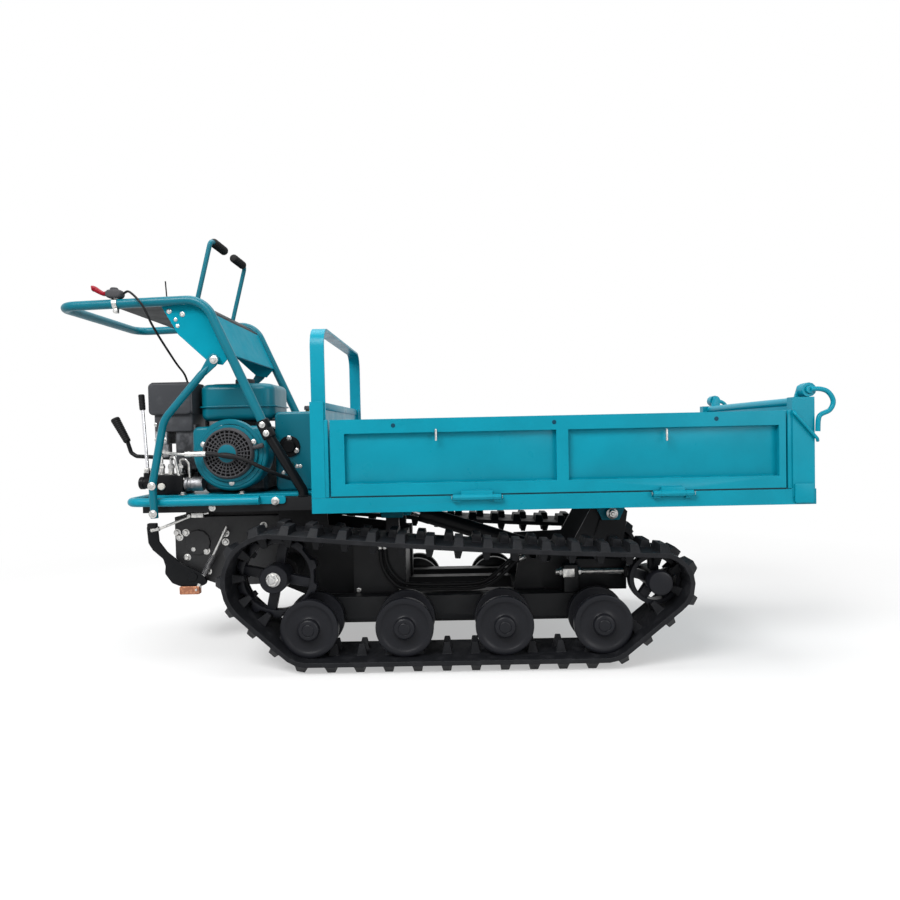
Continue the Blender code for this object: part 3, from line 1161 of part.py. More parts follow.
def bed_frame(parent):
    """Floor, rails, rear posts, pivot ears and the cylinder's bracket of the load bed, in one weldment."""
    inside = BED_HALF - RAIL_WIDTH
    back, front = BED_X
    floor_top = RAIL_TOP - 0.001
    shells = [box((back + 0.002, front - 0.002), (-inside - 0.002, inside + 0.002),
                  (floor_top - FLOOR_THICKNESS, floor_top))]
    for xs in ((back, back + HEAD_POST + 0.001), (front - REAR_RAIL_WIDTH, front)):
        shells.append(box(xs, (-inside - 0.001, inside + 0.001), (RAIL_BOTTOM + 0.001, RAIL_TOP)))
    cuts = []
    for _, side in SIDES:
        shells.append(box(BED_X, span(side, inside, BED_HALF), (RAIL_BOTTOM, RAIL_TOP)))
        shells.append(box((back + 0.02, front - 0.02), span(side, *UNDER_RAIL),
                          (RAIL_BOTTOM + 0.0005, RAIL_TOP - 0.003)))
        shells.append(box(POST_X, span(side, *POST_Y), (RAIL_TOP - 0.02, POST_TOP)))
        shells.append(across(KNUCKLE_X, KNUCKLE_Z, span(side, POST_Y[0] + 0.0005, POST_Y[1] - 0.0005),
                             KNUCKLE_RADIUS))
        cuts.append(across(KNUCKLE_X, KNUCKLE_Z, span(side, POST_Y[0] - 0.01, POST_Y[1] + 0.01),
                           KNUCKLE_PIN_RADIUS + BORE_CLEARANCE))
        ear_ys = span(side, EAR_INNER, EAR_INNER + EAR_THICKNESS)
        ear = [(PIVOT_X - 0.055, RAIL_BOTTOM + 0.01), (PIVOT_X - 0.024, PIVOT_Z - 0.020),
               (PIVOT_X + 0.024, PIVOT_Z - 0.020), (PIVOT_X + 0.055, RAIL_BOTTOM + 0.01)]
        shells.append(plate([ear], ear_ys))
        cuts.append(across(PIVOT_X, PIVOT_Z, span(side, EAR_INNER - 0.0025, EAR_INNER + EAR_THICKNESS + 0.01),
                           PIVOT_PIN_RADIUS + BORE_CLEARANCE))
        shells.append(box(REST_X, span(side, EAR_INNER, EAR_INNER + 0.018), (REST_BOTTOM, RAIL_BOTTOM + 0.01)))
        bracket = [(EYE_PIN_X - 0.045, RAIL_TOP - 0.004), (EYE_PIN_X - 0.018, EYE_PIN_Z - 0.018),
                   (EYE_PIN_X + 0.018, EYE_PIN_Z - 0.018), (EYE_PIN_X + 0.045, RAIL_TOP - 0.004)]
        shells.append(plate([bracket], span(side, CLEVIS_INNER, CLEVIS_INNER + CLEVIS_THICKNESS)))
        for start, end in HINGE_XS:
            for first, last in ((start - GAP - HINGE_LUG, start - GAP), (end + GAP, end + GAP + HINGE_LUG)):
                shells.append(cylinder((first, side * HINGE_Y, HINGE_Z), (last, side * HINGE_Y, HINGE_Z),
                                       HINGE_RADIUS, 8))
                shells.append(box((first + 0.001, last - 0.001), span(side, BED_HALF - 0.002, HINGE_Y),
                                  (HINGE_Z - 0.012, HINGE_Z - 0.001)))
    return node("bed_frame", "teal paint", shells, cuts, parent)


def headboard(parent):
    """Front wall of the bed between its posts, with the guard hoop above it."""
    back, front = BED_X[0], BED_X[0] + HEAD_POST
    base = RAIL_TOP + GAP
    middle = (back + front) / 2
    panel = box((middle - HEAD_PANEL / 2, middle + HEAD_PANEL / 2), (-BED_HALF + 0.01, BED_HALF - 0.01),
                (base, HEAD_TOP))
    posts = [box((back, front), span(side, BED_HALF - HEAD_POST, BED_HALF), (base, HEAD_TOP - 0.001))
             for _, side in SIDES]
    inner_half, inner_top = HOOP_HALF - HOOP_BAR, HOOP_TOP - HOOP_BAR
    foot = HEAD_TOP - 0.05
    centre_z = HOOP_TOP - HOOP_CORNER
    outline = [(HOOP_HALF, foot)]
    outline += arc((HOOP_HALF - HOOP_CORNER, centre_z), HOOP_CORNER, 0, 90, 5)
    outline += arc((-HOOP_HALF + HOOP_CORNER, centre_z), HOOP_CORNER, 90, 180, 5)
    outline += [(-HOOP_HALF, foot), (-inner_half, foot)]
    bend = HOOP_CORNER - HOOP_BAR
    outline += arc((-inner_half + bend, inner_top - bend), bend, 180, 90, 5)
    outline += arc((inner_half - bend, inner_top - bend), bend, 90, 0, 5)
    outline.append((inner_half, foot))
    hoop = plate([outline], (back + 0.003, back + 0.003 + HOOP_WIDTH), TO_YZ)
    groove = box((middle - HEAD_PANEL, middle - HEAD_PANEL / 2 + 0.004),
                 (-BED_HALF + HEAD_POST, BED_HALF - HEAD_POST), (HEAD_TOP - 0.036, HEAD_TOP - 0.028))
    return node("headboard", "teal paint", [panel] + posts + [hoop], [groove], parent)


def side_gate(name, side, parent):
    """Drop side with its frame, recessed panels and hinge barrels."""
    outer = BED_HALF
    base = RAIL_TOP + GAP
    shells = [box(GATE_X, span(side, outer - GATE_DEPTH, outer), (base, GATE_TOP))]
    for start, end in HINGE_XS:
        shells.append(cylinder((start, side * HINGE_Y, HINGE_Z), (end, side * HINGE_Y, HINGE_Z),
                               HINGE_RADIUS, 8))
        shells.append(box((start + 0.001, end - 0.001), span(side, outer - 0.004, HINGE_Y),
                          (base + 0.001, base + 0.012)))
    low, high = base + GATE_FOOT_RAIL, GATE_TOP - GATE_TOP_RAIL
    fields = ((GATE_X[0] + GATE_STILES[0], GATE_RIB_X[0]), (GATE_RIB_X[1], GATE_X[1] - GATE_STILES[1]))
    cuts = [box(field, span(side, outer - GATE_DEPTH + GATE_SKIN, outer + 0.01), (low, high))
            for field in fields]
    return node(name, "teal paint", shells, cuts, parent)


def tailgate(parent):
    """Rear gate hung from its top knuckles, with the curved catch rods."""
    half = POST_Y[0] - 0.004
    shells = [box(TAILGATE_X, (-half, half), (RAIL_TOP + 0.0045, TAILGATE_TUBE_Z))]
    middle = sum(TAILGATE_X) / 2
    shells.append(across(middle, TAILGATE_TUBE_Z, (-half + 0.001, half - 0.001), TAILGATE_TUBE_RADIUS))
    catch_y = POST_Y[1] + HOOK_RADIUS + 0.001
    for _, side in SIDES:
        ear = [(middle - 0.008, TAILGATE_TUBE_Z - 0.010), (KNUCKLE_X + 0.006, TAILGATE_TUBE_Z - 0.004),
               (KNUCKLE_X + 0.014, KNUCKLE_Z), (KNUCKLE_X + 0.006, KNUCKLE_Z + 0.014),
               (KNUCKLE_X - 0.008, KNUCKLE_Z + 0.014)]
        shells.append(plate([ear], span(side, half - 0.012, half - 0.0015)))
        shells.append(across(KNUCKLE_X, KNUCKLE_Z, span(side, half - 0.008, catch_y), KNUCKLE_PIN_RADIUS))
        route = [(KNUCKLE_X + x, side * catch_y, KNUCKLE_Z + z) for x, z in HOOK_ROUTE]
        shells.append(tube(route, HOOK_RADIUS))
    return node("tailgate", "teal paint", shells, (), parent)


def cylinder_axis():
    """Foot pin, direction and pin distance of the lifting cylinder at rest."""
    foot = Vector((BASE_PIN_X, 0, BASE_PIN_Z))
    reach = Vector((EYE_PIN_X, 0, EYE_PIN_Z)) - foot
    return foot, reach.normalized(), reach.length


def cylinder_barrel(parent):
    """Barrel of the lifting cylinder with its foot eye."""
    foot, way, _ = cylinder_axis()
    shells = [cylinder(foot + way * BARREL_START, foot + way * BARREL_END, BARREL_RADIUS),
              across(foot.x, foot.z, (-EYE_HALF, EYE_HALF), EYE_RADIUS),
              cylinder(foot + way * (EYE_RADIUS * 0.7), foot + way * (BARREL_START + 0.005), EYE_HALF - 0.001)]
    cuts = [cylinder(foot + way * (ROD_TAIL - 0.010), foot + way * (BARREL_END + 0.01),
                     ROD_RADIUS + BORE_CLEARANCE),
            across(foot.x, foot.z, (-EYE_HALF - 0.02, EYE_HALF + 0.02), CYLINDER_PIN_RADIUS + BORE_CLEARANCE)]
    return node("cylinder_barrel", "black paint", shells, cuts, parent)


def cylinder_rod(parent):
    """Rod of the lifting cylinder with the eye under the bed."""
    foot, way, length = cylinder_axis()
    eye = foot + way * length
    shells = [cylinder(foot + way * ROD_TAIL, eye - way * (EYE_RADIUS * 0.6), ROD_RADIUS),
              across(eye.x, eye.z, (-EYE_HALF, EYE_HALF), EYE_RADIUS),
              across(eye.x, eye.z, (-CLEVIS_INNER + GAP, CLEVIS_INNER - GAP), CYLINDER_PIN_RADIUS)]
    return node("cylinder_rod", "chrome", shells, (), parent)


def undercarriage():
    """Tracks, wheels, beams, frame and final drive."""
    chassis_frame()
    gearbox()
    brake_arm()
    for word, side in SIDES:
        track_beam(f"track_beam_{word}", side)
        track_tensioner(f"track_tensioner_{word}", side)
        rubber_track(f"rubber_track_{word}", side)
        drive_sprocket(f"drive_sprocket_{word}", side)
        idler_wheel(f"idler_wheel_{word}", side)
        for index, x in enumerate(ROLLER_XS):
            road_roller(f"road_roller_{word}_{index + 1}", side, x)


def engine_bay():
    """Deck with the engine, its fittings and the hydraulics."""
    for build in (engine_deck, engine_block, blower_housing, recoil_starter, fuel_tank, air_cleaner,
                  muffler, oil_tank, belt_guard, valve_block, valve_lever, gear_lever, rear_bumper):
        build()


def operator_station():
    """Handlebar with its struts, braces, console and levers."""
    handlebar()
    console_plate()
    throttle_lever()
    for word, side in SIDES:
        handle_strut(f"handle_strut_{word}", side)
        handle_brace(f"handle_brace_{word}", side)
        steering_lever(f"steering_lever_{word}", side)


def load_bed():
    """Tipping bed with its gates and the lifting cylinder."""
    bed_pivot = pivot("bed_pivot", (PIVOT_X, 0, PIVOT_Z))
    bed_frame(bed_pivot)
    headboard(bed_pivot)
    for word, side in SIDES:
        side_gate(f"side_gate_{word}", side, pivot(f"side_gate_{word}_pivot", (0, side * HINGE_Y, HINGE_Z)))
    tailgate(pivot("tailgate_pivot", (KNUCKLE_X, 0, KNUCKLE_Z)))
    cylinder_pivot = pivot("cylinder_pivot", (BASE_PIN_X, 0, BASE_PIN_Z))
    cylinder_barrel(cylinder_pivot)
    cylinder_rod(cylinder_pivot)


undercarriage()
engine_bay()
operator_station()
hoses()
load_bed()
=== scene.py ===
"""Looks of the tracked mini dumper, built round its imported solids.

Every piece is made in metres in the frame of the solids, rides on one of its bodies and
has a finish made of shader nodes. Sub-assemblies are classes that build their own pieces.
"""

import logging
import math
from dataclasses import dataclass
from enum import Enum
from typing import Iterable, Optional, Sequence, Union

import bmesh
import bpy
import numpy as np
from mathutils import Matrix, Vector


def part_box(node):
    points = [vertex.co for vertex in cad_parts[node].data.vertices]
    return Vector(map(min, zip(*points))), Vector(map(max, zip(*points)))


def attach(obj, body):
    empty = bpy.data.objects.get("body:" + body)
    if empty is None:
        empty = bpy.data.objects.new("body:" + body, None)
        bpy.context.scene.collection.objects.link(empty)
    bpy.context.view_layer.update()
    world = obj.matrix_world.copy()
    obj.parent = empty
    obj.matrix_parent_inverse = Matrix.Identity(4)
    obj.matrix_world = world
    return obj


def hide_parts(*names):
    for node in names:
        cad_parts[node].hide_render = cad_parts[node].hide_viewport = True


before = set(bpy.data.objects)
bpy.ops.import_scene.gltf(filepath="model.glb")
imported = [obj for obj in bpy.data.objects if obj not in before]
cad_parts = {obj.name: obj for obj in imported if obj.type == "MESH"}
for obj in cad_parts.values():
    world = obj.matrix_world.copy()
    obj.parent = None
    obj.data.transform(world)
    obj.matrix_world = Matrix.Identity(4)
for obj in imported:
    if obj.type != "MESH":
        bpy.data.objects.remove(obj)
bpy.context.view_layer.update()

LOG = logging.getLogger("mini_dumper")
Point = Sequence[float]
Term = Union["Signal", float, int]

SIDES = (("right", -1.0), ("left", 1.0))

# Directions; the camera stands on the near side, which is the machine's right
UP: Point = (0.0, 0.0, 1.0)
AHEAD: Point = (1.0, 0.0, 0.0)
BACK: Point = (-1.0, 0.0, 0.0)
ACROSS: Point = (0.0, 1.0, 0.0)
NEAR: Point = (0.0, -1.0, 0.0)

GAP = 0.0003  # between a piece and its seat, as in the solids
WELD = 1e-6  # reach within which points are merged
REPEAT = 1e-7  # reach within which two points of a line are one
CREASE = 34.0  # angle in degrees above which an edge looks sharp
BEVEL_ANGLE = 35.0  # angle in degrees above which a solid's edge is rounded
FLAT_ANGLE = 0.4  # angle in degrees below which a solid's triangles are one face
CORD_STEPS = 9  # stretches between two points of a cord's route
WHITE: Point = (1.0, 1.0, 1.0)


class Slot(Enum):
    """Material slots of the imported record."""

    TEAL = "teal_paint"
    BLACK = "black_paint"
    RUBBER = "black_rubber"
    PLASTIC = "black_plastic"
    CAST = "cast_metal"
    CHROME = "chrome"


class Body(Enum):
    """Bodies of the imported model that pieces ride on."""

    CHASSIS = "chassis"
    BED = "bed"
    GATE_RIGHT = "side_gate_right"
    GATE_LEFT = "side_gate_left"
    TAILGATE = "tailgate"
    BARREL = "cylinder_barrel"
    ROD = "cylinder_rod"


# Shader language


class Signal:
    """One shader socket that takes part in sums written as Python expressions."""

    def __init__(self, shader: "Shader", socket: bpy.types.NodeSocket) -> None:
        """Keep the socket with the shader that it belongs to."""
        self.shader = shader
        self.socket = socket

    def __add__(self, other: Term) -> "Signal":
        """Sum."""
        return self.shader.maths("ADD", self, other)

    def __radd__(self, other: Term) -> "Signal":
        """Sum with a number on the left."""
        return self.shader.maths("ADD", other, self)

    def __sub__(self, other: Term) -> "Signal":
        """Difference."""
        return self.shader.maths("SUBTRACT", self, other)

    def __rsub__(self, other: Term) -> "Signal":
        """Difference with a number on the left."""
        return self.shader.maths("SUBTRACT", other, self)

    def __mul__(self, other: Term) -> "Signal":
        """Product."""
        return self.shader.maths("MULTIPLY", self, other)

    def __rmul__(self, other: Term) -> "Signal":
        """Product with a number on the left."""
        return self.shader.maths("MULTIPLY", other, self)

    def above(self, low: float, high: float) -> "Signal":
        """Smooth step from 0 at low to 1 at high.

        Args:
            low: Value that gives 0.
            high: Value that gives 1.

        Returns:
            The stepped signal, kept between 0 and 1.
        """
        settings = {"interpolation_type": "SMOOTHSTEP", "clamp": True}
        values = {"Value": self, "From Min": low, "From Max": high}
        return self.shader.node("ShaderNodeMapRange", settings, values)["Result"]


class Made:
    """A shader node whose outputs are read by name as signals."""

    def __init__(self, shader: "Shader", node: bpy.types.Node) -> None:
        """Keep the node with its shader."""
        self.shader = shader
        self.node = node

    def __getitem__(self, name: Union[str, int]) -> Signal:
        """Signal of one output."""
        return Signal(self.shader, self.node.outputs[name])


class Shader:
    """Node material under construction."""

    def __init__(self, name: str, world: Optional[bpy.types.World] = None) -> None:
        """Start from the default nodes of a new material, or of a world.

        Args:
            name: Name of the material.
            world: World to shade in place of a material.
        """
        self.material = world or bpy.data.materials.new(name)
        self.material.use_nodes = True
        self.tree = self.material.node_tree
        self.surface = self.tree.nodes["Background" if world else "Principled BSDF"]
        self.output = self.tree.nodes["World Output" if world else "Material Output"]

    def feed(self, socket: bpy.types.NodeSocket, value: object) -> None:
        """Give a socket a value or link it to a signal.

        Args:
            socket: Input of a node.
            value: Number, colour or signal.
        """
        if isinstance(value, Signal):
            self.tree.links.new(value.socket, socket)
        else:
            socket.default_value = value

    def node(self, kind: str, settings: Optional[dict] = None, inputs: Optional[dict] = None) -> Made:
        """Any node.

        Args:
            kind: Type name of the node.
            settings: Properties set first, such as a Math node's operation.
            inputs: Values or signals of its sockets, by name or index.

        Returns:
            The node, whose outputs are read by name.
        """
        node = self.tree.nodes.new(kind)
        for name, value in (settings or {}).items():
            setattr(node, name, value)
        for name, value in (inputs or {}).items():
            self.feed(node.inputs[name], value)
        return Made(self, node)

    def maths(self, operation: str, first: Term, second: Term) -> Signal:
        """Math node on two terms, of which either may be a number."""
        return self.node("ShaderNodeMath", {"operation": operation}, {0: first, 1: second})["Value"]

    def place(self, scale: Point = (1.0, 1.0, 1.0), turn: Point = (0.0, 0.0, 0.0)) -> Signal:
        """Object coordinates, scaled and turned by a Mapping node.

        Args:
            scale: Factors along X, Y and Z.
            turn: Angles about X, Y and Z.

        Returns:
            The mapped coordinates.
        """
        spot = self.node("ShaderNodeTexCoord")["Object"]
        mapping = self.node("ShaderNodeMapping", None, {"Vector": spot, "Rotation": turn, "Scale": scale})
        return mapping["Vector"]

    def noise(self, scale: float, detail: float = 3.0, stretch: Point = (1.0, 1.0, 1.0)) -> Signal:
        """Fractal noise between 0 and 1 on object coordinates."""
        values = {"Vector": self.place(stretch), "Scale": scale, "Detail": detail, "Roughness": 0.55}
        return self.node("ShaderNodeTexNoise", None, values)["Fac"]

    def cells(self, scale: float) -> Signal:
        """Distance to the nearest cell centre of a Voronoi pattern."""
        values = {"Vector": self.place(), "Scale": scale}
        return self.node("ShaderNodeTexVoronoi", None, values)["Distance"]

    def along(self, axis: str) -> Signal:
        """Object X, Y or Z in metres."""
        spot = self.node("ShaderNodeTexCoord")["Object"]
        return self.node("ShaderNodeSeparateXYZ", None, {"Vector": spot})[axis]

    def aside(self) -> Signal:
        """Distance from the middle plane: object Y without its sign."""
        return self.maths("ABSOLUTE", self.along("Y"), 0.0)

    def facing_up(self) -> Signal:
        """Upward part of the surface normal, 1 on a level top."""
        normal = self.node("ShaderNodeNewGeometry")["Normal"]
        return self.node("ShaderNodeSeparateXYZ", None, {"Vector": normal})["Z"]

    def blend(self, share: Term, first: object, second: object) -> Signal:
        """Colour mix from first to second by share.

        Args:
            share: Share of the second colour.
            first: Colour or signal at share 0.
            second: Colour or signal at share 1.

        Returns:
            The mixed colour.
        """
        mix = self.tree.nodes.new("ShaderNodeMix")
        mix.data_type = "RGBA"
        self.feed(mix.inputs["Factor"], share)
        for socket, value in ((mix.inputs[6], first), (mix.inputs[7], second)):
            self.feed(socket, value if isinstance(value, Signal) else (*value, 1.0))
        return Signal(self, mix.outputs[2])

    def bump(self, height: Signal, depth: float, strength: float = 1.0) -> None:
        """Raise the surface normal by a height signal, depth in metres.

        Args:
            height: Height signal, where 1 is the full depth.
            depth: Metres between 0 and 1.
            strength: Share of the effect.
        """
        values = {"Height": height, "Distance": depth, "Strength": strength}
        made = self.node("ShaderNodeBump", None, values)
        self.feed(self.surface.inputs["Normal"], made["Normal"])

    def set(self, **sockets: object) -> None:
        """Set the Principled shader's sockets; underscores stand for spaces.

        Args:
            sockets: Values or signals by name; a colour is a tuple of three.
        """
        for name, value in sockets.items():
            socket = self.surface.inputs[name.replace("_", " ")]
            if isinstance(value, tuple) and len(value) == 3:
                value = (*value, 1.0)
            self.feed(socket, value)


# Finishes


@dataclass(frozen=True)
class Finish:
    """Base of every finish: a name, a slot of the record, and a cached material."""

    name: str = "finish"
    slot: Slot = Slot.BLACK

    def paint(self, shader: Shader) -> None:
        """Build the finish's nodes; each kind of finish has its own."""
        shader.set(Roughness=0.5)

    def material(self) -> bpy.types.Material:
        """The material, made once and then shared.

        Returns:
            The shared material.
        """
        known = bpy.data.materials.get(self.name)
        if known:
            return known
        shader = Shader(self.name)
        self.paint(shader)
        return shader.material


@dataclass(frozen=True)
class PowderCoat(Finish):
    """Sprayed and baked coat: orange-peel skin, faint mottling, a little dust on level tops."""

    colour: Point = (0.0015, 0.228, 0.315)
    dust: Point = (0.16, 0.34, 0.38)
    roughness: float = 0.27
    specular: float = 0.14
    peel: float = 0.00012
    slot: Slot = Slot.TEAL

    def tone(self, shader: Shader, coat: Signal) -> Signal:
        """Colour of the coat; a kind of coat may change it from place to place."""
        return coat

    def paint(self, shader: Shader) -> None:
        """Mottled colour, dusty tops, uneven gloss and orange peel.

        Args:
            shader: Material under construction.
        """
        mottling = shader.noise(9.0, 4.0)
        deep = tuple(value * 0.94 for value in self.colour)
        bright = tuple(min(1.0, value * 1.05) for value in self.colour)
        colour = self.tone(shader, shader.blend(mottling.above(0.3, 0.7), deep, bright))
        dusting = shader.facing_up().above(0.6, 1.0) * shader.noise(38.0, 5.0).above(0.42, 0.75) * 0.06
        scuffs = shader.noise(60.0, 6.0, (1.0, 1.0, 9.0)).above(0.66, 0.74) * 0.02
        shader.set(Base_Color=shader.blend(dusting + scuffs, colour, self.dust))
        gloss = shader.noise(26.0, 3.0).above(0.25, 0.8) * 0.1
        shader.set(Roughness=gloss + self.roughness, Specular_IOR_Level=self.specular)
        shader.bump(shader.noise(420.0, 2.0), self.peel, 0.55)


@dataclass(frozen=True)
class GateCoat(PowderCoat):
    """Coat of the drop sides: painted shade along the lower edge, standing for the shadow in the gap over the rail."""

    # painted shade: dark colour of the shadow in the gap between the gate and the rail
    painted_gap_shade: Point = (0.003, 0.02, 0.028)
    levels: tuple[float, float] = (0.444, 0.4458)
    inner_fade: tuple[float, float] = (0.326, 0.328)
    outer_fade: tuple[float, float] = (0.33, 0.3306)

    def tone(self, shader: Shader, coat: Signal) -> Signal:
        """Painted shade below the first level, fading out above the second, on the outer face alone.

        Args:
            shader: Material under construction.
            coat: Colour of the clean coat.

        Returns:
            The coat with its painted shade.
        """
        aside = shader.aside()
        outer = aside.above(*self.inner_fade) * (1.0 - aside.above(*self.outer_fade))
        # dark band of painted shade along the gate's lower edge, outer face only
        return shader.blend((1.0 - shader.along("Z").above(*self.levels)) * outer, coat, self.painted_gap_shade)


@dataclass(frozen=True)
class ConsoleCoat(PowderCoat):
    """Coat of the console: teal cheeks and slope, and charcoal painted shade on the plate between the tubes."""

    # painted shade: charcoal colour that stands for the shade under the console plate
    painted_plate_shade: Point = (0.02, 0.024, 0.027)
    sheet_edge: tuple[float, float] = (0.2125, 0.2129)
    bend: tuple[float, float] = (0.935, 0.9356)

    def tone(self, shader: Shader, coat: Signal) -> Signal:
        """Charcoal painted shade where |Y| is inside the cheeks and Z above the bend."""
        inside = 1.0 - shader.aside().above(*self.sheet_edge)
        return shader.blend(inside * shader.along("Z").above(*self.bend), coat, self.painted_plate_shade)


@dataclass(frozen=True)
class TrackRubber(Finish):
    """Cured rubber: fine mould grain and dull worn patches."""

    colour: Point = (0.0055, 0.006, 0.0075)
    worn: Point = (0.016, 0.0165, 0.019)
    slot: Slot = Slot.RUBBER

    def paint(self, shader: Shader) -> None:
        """Grain, blotches of wear and uneven roughness.

        Args:
            shader: Material under construction.
        """
        wear = shader.noise(34.0, 6.0).above(0.48, 0.72)
        grain = shader.noise(520.0, 3.0)
        shader.set(Base_Color=shader.blend(wear * 0.7, self.colour, self.worn))
        shader.set(Roughness=0.5 + wear * 0.22 + grain * 0.1, Specular_IOR_Level=0.18)
        shader.bump(grain * 0.6 + shader.noise(90.0, 4.0) * 0.8, 0.0004, 0.6)


@dataclass(frozen=True)
class BareMetal(Finish):
    """Plated or bare metal with cloudy gloss and fine brush marks."""

    colour: Point = (0.66, 0.65, 0.62)
    dark: Point = (0.4, 0.4, 0.4)
    roughness: float = 0.26
    spread: float = 0.18
    grain: float = 0.00005
    slot: Slot = Slot.CHROME

    def paint(self, shader: Shader) -> None:
        """Cloudy plating and roughness.

        Args:
            shader: Material under construction.
        """
        cloud = shader.noise(120.0, 4.0)
        shader.set(Base_Color=shader.blend(cloud.above(0.35, 0.7), self.dark, self.colour), Metallic=1.0)
        shader.set(Roughness=cloud * self.spread + self.roughness)
        shader.bump(shader.noise(900.0, 2.0), self.grain, 0.5)


@dataclass(frozen=True)
class CastSkin(Finish):
    """Sand-cast or die-cast metal: pebbled skin with darker blotches."""

    colour: Point = (0.075, 0.078, 0.085)
    dark: Point = (0.018, 0.019, 0.022)
    metallic: float = 0.55
    roughness: float = 0.46
    slot: Slot = Slot.CAST

    def paint(self, shader: Shader) -> None:
        """Pebbled bump with mottled colour.

        Args:
            shader: Material under construction.
        """
        blotch = shader.noise(45.0, 5.0)
        shader.set(Base_Color=shader.blend(blotch.above(0.35, 0.68), self.dark, self.colour))
        shader.set(Metallic=self.metallic, Roughness=blotch * 0.2 + self.roughness)
        shader.bump(shader.noise(650.0, 3.0) + shader.cells(420.0) * 0.5, 0.00035, 0.6)


@dataclass(frozen=True)
class Moulded(Finish):
    """Moulded plastic with a fine leathery grain."""

    colour: Point = (0.007, 0.0075, 0.0085)
    light: Point = (0.019, 0.02, 0.022)
    roughness: float = 0.4
    grain: float = 0.00018
    slot: Slot = Slot.PLASTIC

    def paint(self, shader: Shader) -> None:
        """Leather grain with slightly paler rubbed places.

        Args:
            shader: Material under construction.
        """
        rub = shader.noise(30.0, 5.0).above(0.5, 0.75)
        shader.set(Base_Color=shader.blend(rub * 0.6, self.colour, self.light))
        shader.set(Roughness=rub * 0.12 + self.roughness, Specular_IOR_Level=0.12)
        shader.bump(shader.cells(900.0), self.grain, 0.5)


TEAL = PowderCoat(name="teal_powder_coat")
# painted shade: the same teal paint made darker for the handlebar, braces, levers, blower, starter and tanks, as if in
# shade
SHADED_TEAL = PowderCoat(name="shaded_teal_coat", colour=(0.0012, 0.125, 0.172), dust=(0.1, 0.24, 0.28), specular=0.2)
GATE_TEAL = GateCoat(name="gate_powder_coat")
CONSOLE_TEAL = ConsoleCoat(name="console_powder_coat", specular=0.03, roughness=0.4)
SATIN = PowderCoat(name="satin_black_paint", slot=Slot.BLACK, colour=(0.005, 0.0055, 0.0065),
                   dust=(0.06, 0.06, 0.07), roughness=0.32, specular=0.12)
WHEEL_BLACK = PowderCoat(name="wheel_black_paint", slot=Slot.BLACK, colour=(0.007, 0.0075, 0.01),
                         dust=(0.07, 0.07, 0.08), roughness=0.34, specular=0.17)
FRAME_BLACK = PowderCoat(name="frame_black_paint", slot=Slot.BLACK, colour=(0.0065, 0.007, 0.0082),
                         dust=(0.07, 0.07, 0.08), roughness=0.42, specular=0.22)
RUBBER = TrackRubber(name="track_rubber")
HOSE = TrackRubber(name="hose_rubber", colour=(0.007, 0.0072, 0.008), worn=(0.016, 0.016, 0.017))
ZINC = BareMetal(name="zinc_plate")
CHROME = BareMetal(name="chrome_plate", colour=(0.8, 0.8, 0.82), dark=(0.68, 0.68, 0.71), roughness=0.08, spread=0.06)
STEEL = BareMetal(name="dark_steel", colour=(0.3, 0.3, 0.31), dark=(0.14, 0.14, 0.15), roughness=0.34)
BRASS = BareMetal(name="brass_fitting", colour=(0.62, 0.42, 0.17), dark=(0.4, 0.25, 0.09), roughness=0.24)
COPPER = BareMetal(name="copper_block", colour=(0.55, 0.26, 0.15), dark=(0.3, 0.13, 0.08), roughness=0.38,
                   slot=Slot.CAST)
CASTING = CastSkin(name="engine_casting")
DRIVE_CAST = CastSkin(name="gearbox_casting", colour=(0.011, 0.0115, 0.013), dark=(0.0045, 0.0045, 0.0055),
                      metallic=0.1, slot=Slot.BLACK)
ALLOY = CastSkin(name="bright_alloy", colour=(0.42, 0.42, 0.43), dark=(0.2, 0.2, 0.21), metallic=0.9,
                 roughness=0.36)
PLASTIC = Moulded(name="black_plastic")
GREY_PLASTIC = Moulded(name="grey_plastic", colour=(0.045, 0.047, 0.052), light=(0.08, 0.083, 0.09))
GRIP = Moulded(name="grip_rubber", colour=(0.008, 0.008, 0.0085), light=(0.02, 0.02, 0.02), roughness=0.5,
               grain=0.0003, slot=Slot.RUBBER)
RED = Moulded(name="red_plastic", colour=(0.22, 0.004, 0.014), light=(0.3, 0.015, 0.025), roughness=0.3)
PLUG = Moulded(name="dark_plug", colour=(0.004, 0.045, 0.08), light=(0.006, 0.06, 0.1), roughness=0.35)
CREAM = Moulded(name="pale_plastic", colour=(0.62, 0.6, 0.55), light=(0.7, 0.69, 0.64), roughness=0.35)


# Scene around the machine


def linked(name: str, data: bpy.types.ID) -> bpy.types.Object:
    """New object of some data, in the scene.

    Args:
        name: Name of the object.
        data: Mesh, lamp or camera that it shows.

    Returns:
        The object.
    """
    made = bpy.data.objects.new(name, data)
    bpy.context.scene.collection.objects.link(made)
    return made


